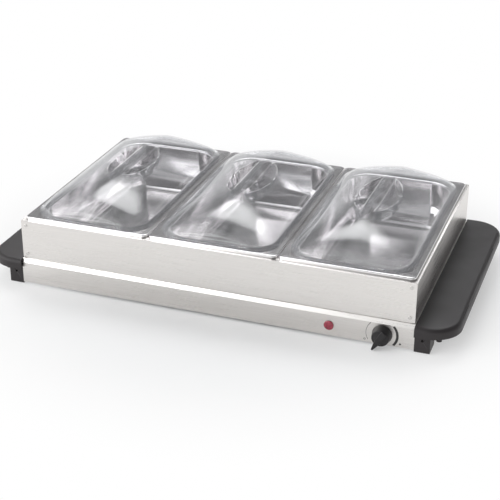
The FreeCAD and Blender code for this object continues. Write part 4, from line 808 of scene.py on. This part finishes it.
@dataclass
class Controls(Assembly):
    """Knob, thermostat and indicator lamp, with the printed heat scale behind the knob."""

    scale_radius: float = 20.4 * MM
    scale_width: float = 1.8 * MM
    scale_shift: float = 1.4 * MM
    scale_top: float = 43.0
    scale_start: float = -28.0
    scale_end: float = -42.0
    mark_radius: float = 1.3 * MM
    off_place: tuple[float, float, float] = (-21.5 * MM, -10.0 * MM, 0.0)
    off_band: float = 0.45 * MM
    full_place: tuple[float, float, float] = (22.5 * MM, -9.5 * MM, 0.0)
    full_band: float = 0.5 * MM
    ink: float = 0.05 * MM

    def build(self) -> None:
        """Build the knob and the lens, and dress what is behind them."""
        knob = self.sewn_copy("control_knob", "control_knob_moulding", 32.0)
        self.mount(knob, "knob", KNOB_PLASTIC, "black_plastic", "control_knob")
        lens = self.sewn_copy("indicator_lens", "indicator_lens_moulding", 25.0)
        self.mount(lens, "root", LENS_RED, "red_lens", "indicator_lens")
        self.build_dial()
        self.keep(ZINC_STEEL, "thermostat_shaft", "thermostat_nut", "indicator_clip")
        self.keep(TURNED_BRASS, "thermostat_bush", "thermostat_blades")
        self.keep(STEATITE, "thermostat_block")
        self.keep(LAMP_GLASS, "indicator_neon")

    def build_dial(self) -> None:
        """Print the heat scale and its two end marks on the front face, about the knob's axis."""
        low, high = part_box("thermostat_nut")
        middle = (low + high) / 2
        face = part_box("base_housing")[0].y
        scale = self.heat_scale()
        off_mark = self.banded_disc(self.mark_radius, self.off_band, self.off_place)
        self.open_middle(off_mark, self.mark_radius)
        full_mark = self.banded_disc(self.mark_radius, self.full_band, self.full_place)
        dial = join([scale, off_mark, full_mark], "printed_heat_scale")
        upright = Matrix.Rotation(QUARTER_TURN, 4, "X")
        dial.data.transform(Matrix.Translation((middle.x, face, middle.z)) @ upright)
        apply_modifier(dial, "SOLIDIFY", thickness=self.ink, offset=1.0)
        self.mount(dial, "root", DIAL_INK, "black_plastic")

    def heat_scale(self) -> bpy.types.Object:
        """Draw a ring that swells from a hairline at the left to a crescent at the right."""
        scale = self.banded_disc(self.scale_radius, self.scale_width, vertices=144)
        self.open_middle(scale, self.scale_radius, self.scale_shift)
        edit(scale)
        select_faces(scale, lambda centre, normal: not self.printed(centre))
        bpy.ops.mesh.delete(type="FACE")
        leave_edit()
        return scale

    @staticmethod
    def banded_disc(radius: float, band: float, place: tuple[float, float, float] = (0.0, 0.0, 0.0),
                    vertices: int = 24) -> bpy.types.Object:
        """Draw a flat disc with a band round its middle face.

        Args:
            radius: the disc's radius.
            band: the width of the band.
            place: the disc's middle.
            vertices: the number of points round it.

        Returns:
            The disc.
        """
        deselect()
        bpy.ops.mesh.primitive_circle_add(vertices=vertices, radius=radius, fill_type="NGON",
                                          location=place)
        disc = bpy.context.active_object
        edit(disc)
        bpy.ops.mesh.select_all(action="SELECT")
        bpy.ops.mesh.inset(thickness=band)
        leave_edit()
        return disc

    @staticmethod
    def open_middle(disc: bpy.types.Object, radius: float, shift: float = 0.0) -> None:
        """Move a disc's middle face to the left and delete it, so that the band is a ring.

        Args:
            disc: the banded disc.
            radius: the disc's radius.
            shift: how far the middle moves, which makes the ring swell at the right.
        """
        edit(disc)
        select_faces(disc, lambda centre, normal: centre.length < radius / 2)
        bpy.ops.transform.translate(value=(-shift, 0.0, 0.0))
        bpy.ops.mesh.delete(type="FACE")
        leave_edit()

    def printed(self, centre: Vector) -> bool:
        """Tell whether a part of the ring is inked, by its angle above or below the knob's level."""
        rise = math.degrees(math.atan2(centre.y, abs(centre.x)))
        lowest = self.scale_end if centre.x > 0 else self.scale_start
        return lowest < rise < self.scale_top


@dataclass
class HeaterWorks(Assembly):
    """Heater, reflector, inlet and wiring inside the base."""

    def build(self) -> None:
        """Dress everything that the cover hides."""
        self.keep(SHEATH_STEEL, "heating_element")
        self.keep(ZINC_STEEL, "element_pins", "element_straps", "plate_studs",
                  "shield_spacers", "shield_nuts", "earth_tag")
        self.keep(SHIELD_ALUMINIUM, "heat_shield", "thermal_cutout")
        self.keep(GLAND_PLASTIC, "cable_gland", "gland_nut")
        self.keep(STEATITE, "terminal_block")
        self.keep(WIRE_BROWN, "wire_live", "wire_heater")
        self.keep(WIRE_BLUE, "wire_neutral", "wire_lamp")
        self.keep(WIRE_GREEN, "wire_earth")


# ------------------------------------------------------------------ studio
@dataclass(frozen=True)
class Softbox:
    """A square studio light: where it stands, where it aims, its size and power."""

    name: str
    place: tuple[float, float, float]
    aim: tuple[float, float, float]
    size: tuple[float, float]
    watts: float


@dataclass(frozen=True)
class Glow:
    """A soft-edged pale sheet: its direction, the cosines where it ends and is full, its strength."""

    way: tuple[float, float, float]
    edge: float
    core: float
    strength: float


@dataclass
class Studio:
    """Pale floor, soft light and the camera."""

    azimuth: float = 19.565
    elevation: float = 25.863
    roll: float = 0.213
    lens_mm: float = 91.1
    place: tuple[float, float, float] = (0.5185, -1.4633, 0.7736)
    sensor_mm: float = 36.0
    floor_width: float = 14.0
    floor_gap: float = 0.2 * MM
    room_colour: str = "#F6F7F8"
    low_light: float = 1.15
    high_light: float = 0.19
    walls_end: float = 0.04
    ceiling_starts: float = 0.45
    glows: tuple[Glow, ...] = (
        Glow((-0.80, -0.45, 0.40), 0.60, 0.92, 1.7),
        Glow((-0.21, 0.58, 0.79), 0.93, 0.995, 6.5),
    )
    softboxes: tuple[Softbox, ...] = (
        Softbox("key_softbox", (-1.3, -1.45, 1.03), (0.0, 0.0, 0.05), (1.7, 1.3), 11.0),
    )

    def build(self) -> None:
        """Set out the floor, the lights, the room and the camera."""
        self.build_floor()
        for softbox in self.softboxes:
            self.build_softbox(softbox)
        self.build_room()
        self.build_camera()

    def build_floor(self) -> None:
        """Lay a wide pale floor under the feet."""
        deselect()
        bpy.ops.mesh.primitive_plane_add(size=self.floor_width, location=(0.0, 0.0, -self.floor_gap))
        floor = bpy.context.active_object
        floor.name = "studio_floor"
        dress(floor, StudioPaper("studio_paper"))

    def build_softbox(self, softbox: Softbox) -> None:
        """Hang one softbox, aimed at its point."""
        data = bpy.data.lights.new(softbox.name, "AREA")
        data.shape = "RECTANGLE"
        data.size, data.size_y = softbox.size
        data.energy = softbox.watts
        light = bpy.data.objects.new(softbox.name, data)
        bpy.context.scene.collection.objects.link(light)
        light.location = softbox.place
        way = Vector(softbox.aim) - Vector(softbox.place)
        light.rotation_euler = way.to_track_quat("-Z", "Y").to_euler()

    def build_room(self) -> None:
        """Surround everything with pale walls under a dim ceiling, and add the glowing sheets."""
        world = bpy.data.worlds.new("studio_room")
        world.use_nodes = True
        world.node_tree.nodes.clear()
        tree = world.node_tree
        direction = add_node(tree, "TexCoord").outputs["Generated"]
        way = add_node(tree, "SeparateXYZ", None, {0: direction})
        strength = add_node(tree, "MapRange", SOFT_ENDS, {
            "Value": way.outputs["Z"], "From Min": self.walls_end, "From Max": self.ceiling_starts,
            "To Min": self.low_light, "To Max": self.high_light})
        for glow in self.glows:
            facing = add_node(tree, "VectorMath", {"operation": "DOT_PRODUCT"}, {
                0: direction, 1: Vector(glow.way).normalized()})
            sheet = add_node(tree, "MapRange", SOFT_ENDS, {
                "Value": facing.outputs["Value"], "From Min": glow.edge, "From Max": glow.core,
                "To Min": 0.0, "To Max": glow.strength})
            strength = add_node(tree, "Math", {"operation": "ADD"}, {0: strength, 1: sheet})
        light = add_node(tree, "Background", None, {
            "Color": linear(self.room_colour), "Strength": strength})
        add_node(tree, "OutputWorld", None, {"Surface": light})
        bpy.context.scene.world = world
        bpy.context.scene.view_settings.view_transform = "Standard"

    def build_camera(self) -> None:
        """Stand the camera at the front, to the right and above."""
        turn, rise, roll = map(math.radians, (self.azimuth, self.elevation, self.roll))
        level_part = math.cos(rise)
        back = Vector((math.sin(turn) * level_part, -math.cos(turn) * level_part, math.sin(rise)))
        right = Vector((math.cos(turn), math.sin(turn), 0.0))
        upward = back.cross(right)
        level = right * math.cos(roll) + upward * math.sin(roll)
        upright = upward * math.cos(roll) - right * math.sin(roll)
        data = bpy.data.cameras.new("studio_camera")
        data.lens = self.lens_mm
        data.sensor_width = self.sensor_mm
        data.clip_start = 0.01
        camera = bpy.data.objects.new("studio_camera", data)
        bpy.context.scene.collection.objects.link(camera)
        rotation = Matrix((level, upright, back)).transposed()
        camera.matrix_world = Matrix.Translation(self.place) @ rotation.to_4x4()
        bpy.context.scene.camera = camera


def main() -> None:
    """Build the sub-assemblies and the studio in order, and report each piece."""
    logging.basicConfig(level=logging.INFO, format="%(name)s %(message)s")
    assemblies: list[Assembly] = [HeatedBase("heated base"), ServingFrame("serving frame")]
    assemblies += [FoodService(f"{place} service", place) for place in ("left", "centre", "right")]
    assemblies += [Controls("controls"), HeaterWorks("heater works")]
    for assembly in assemblies:
        assembly.build()
    Studio().build()


if __name__ == "__main__":
    main()
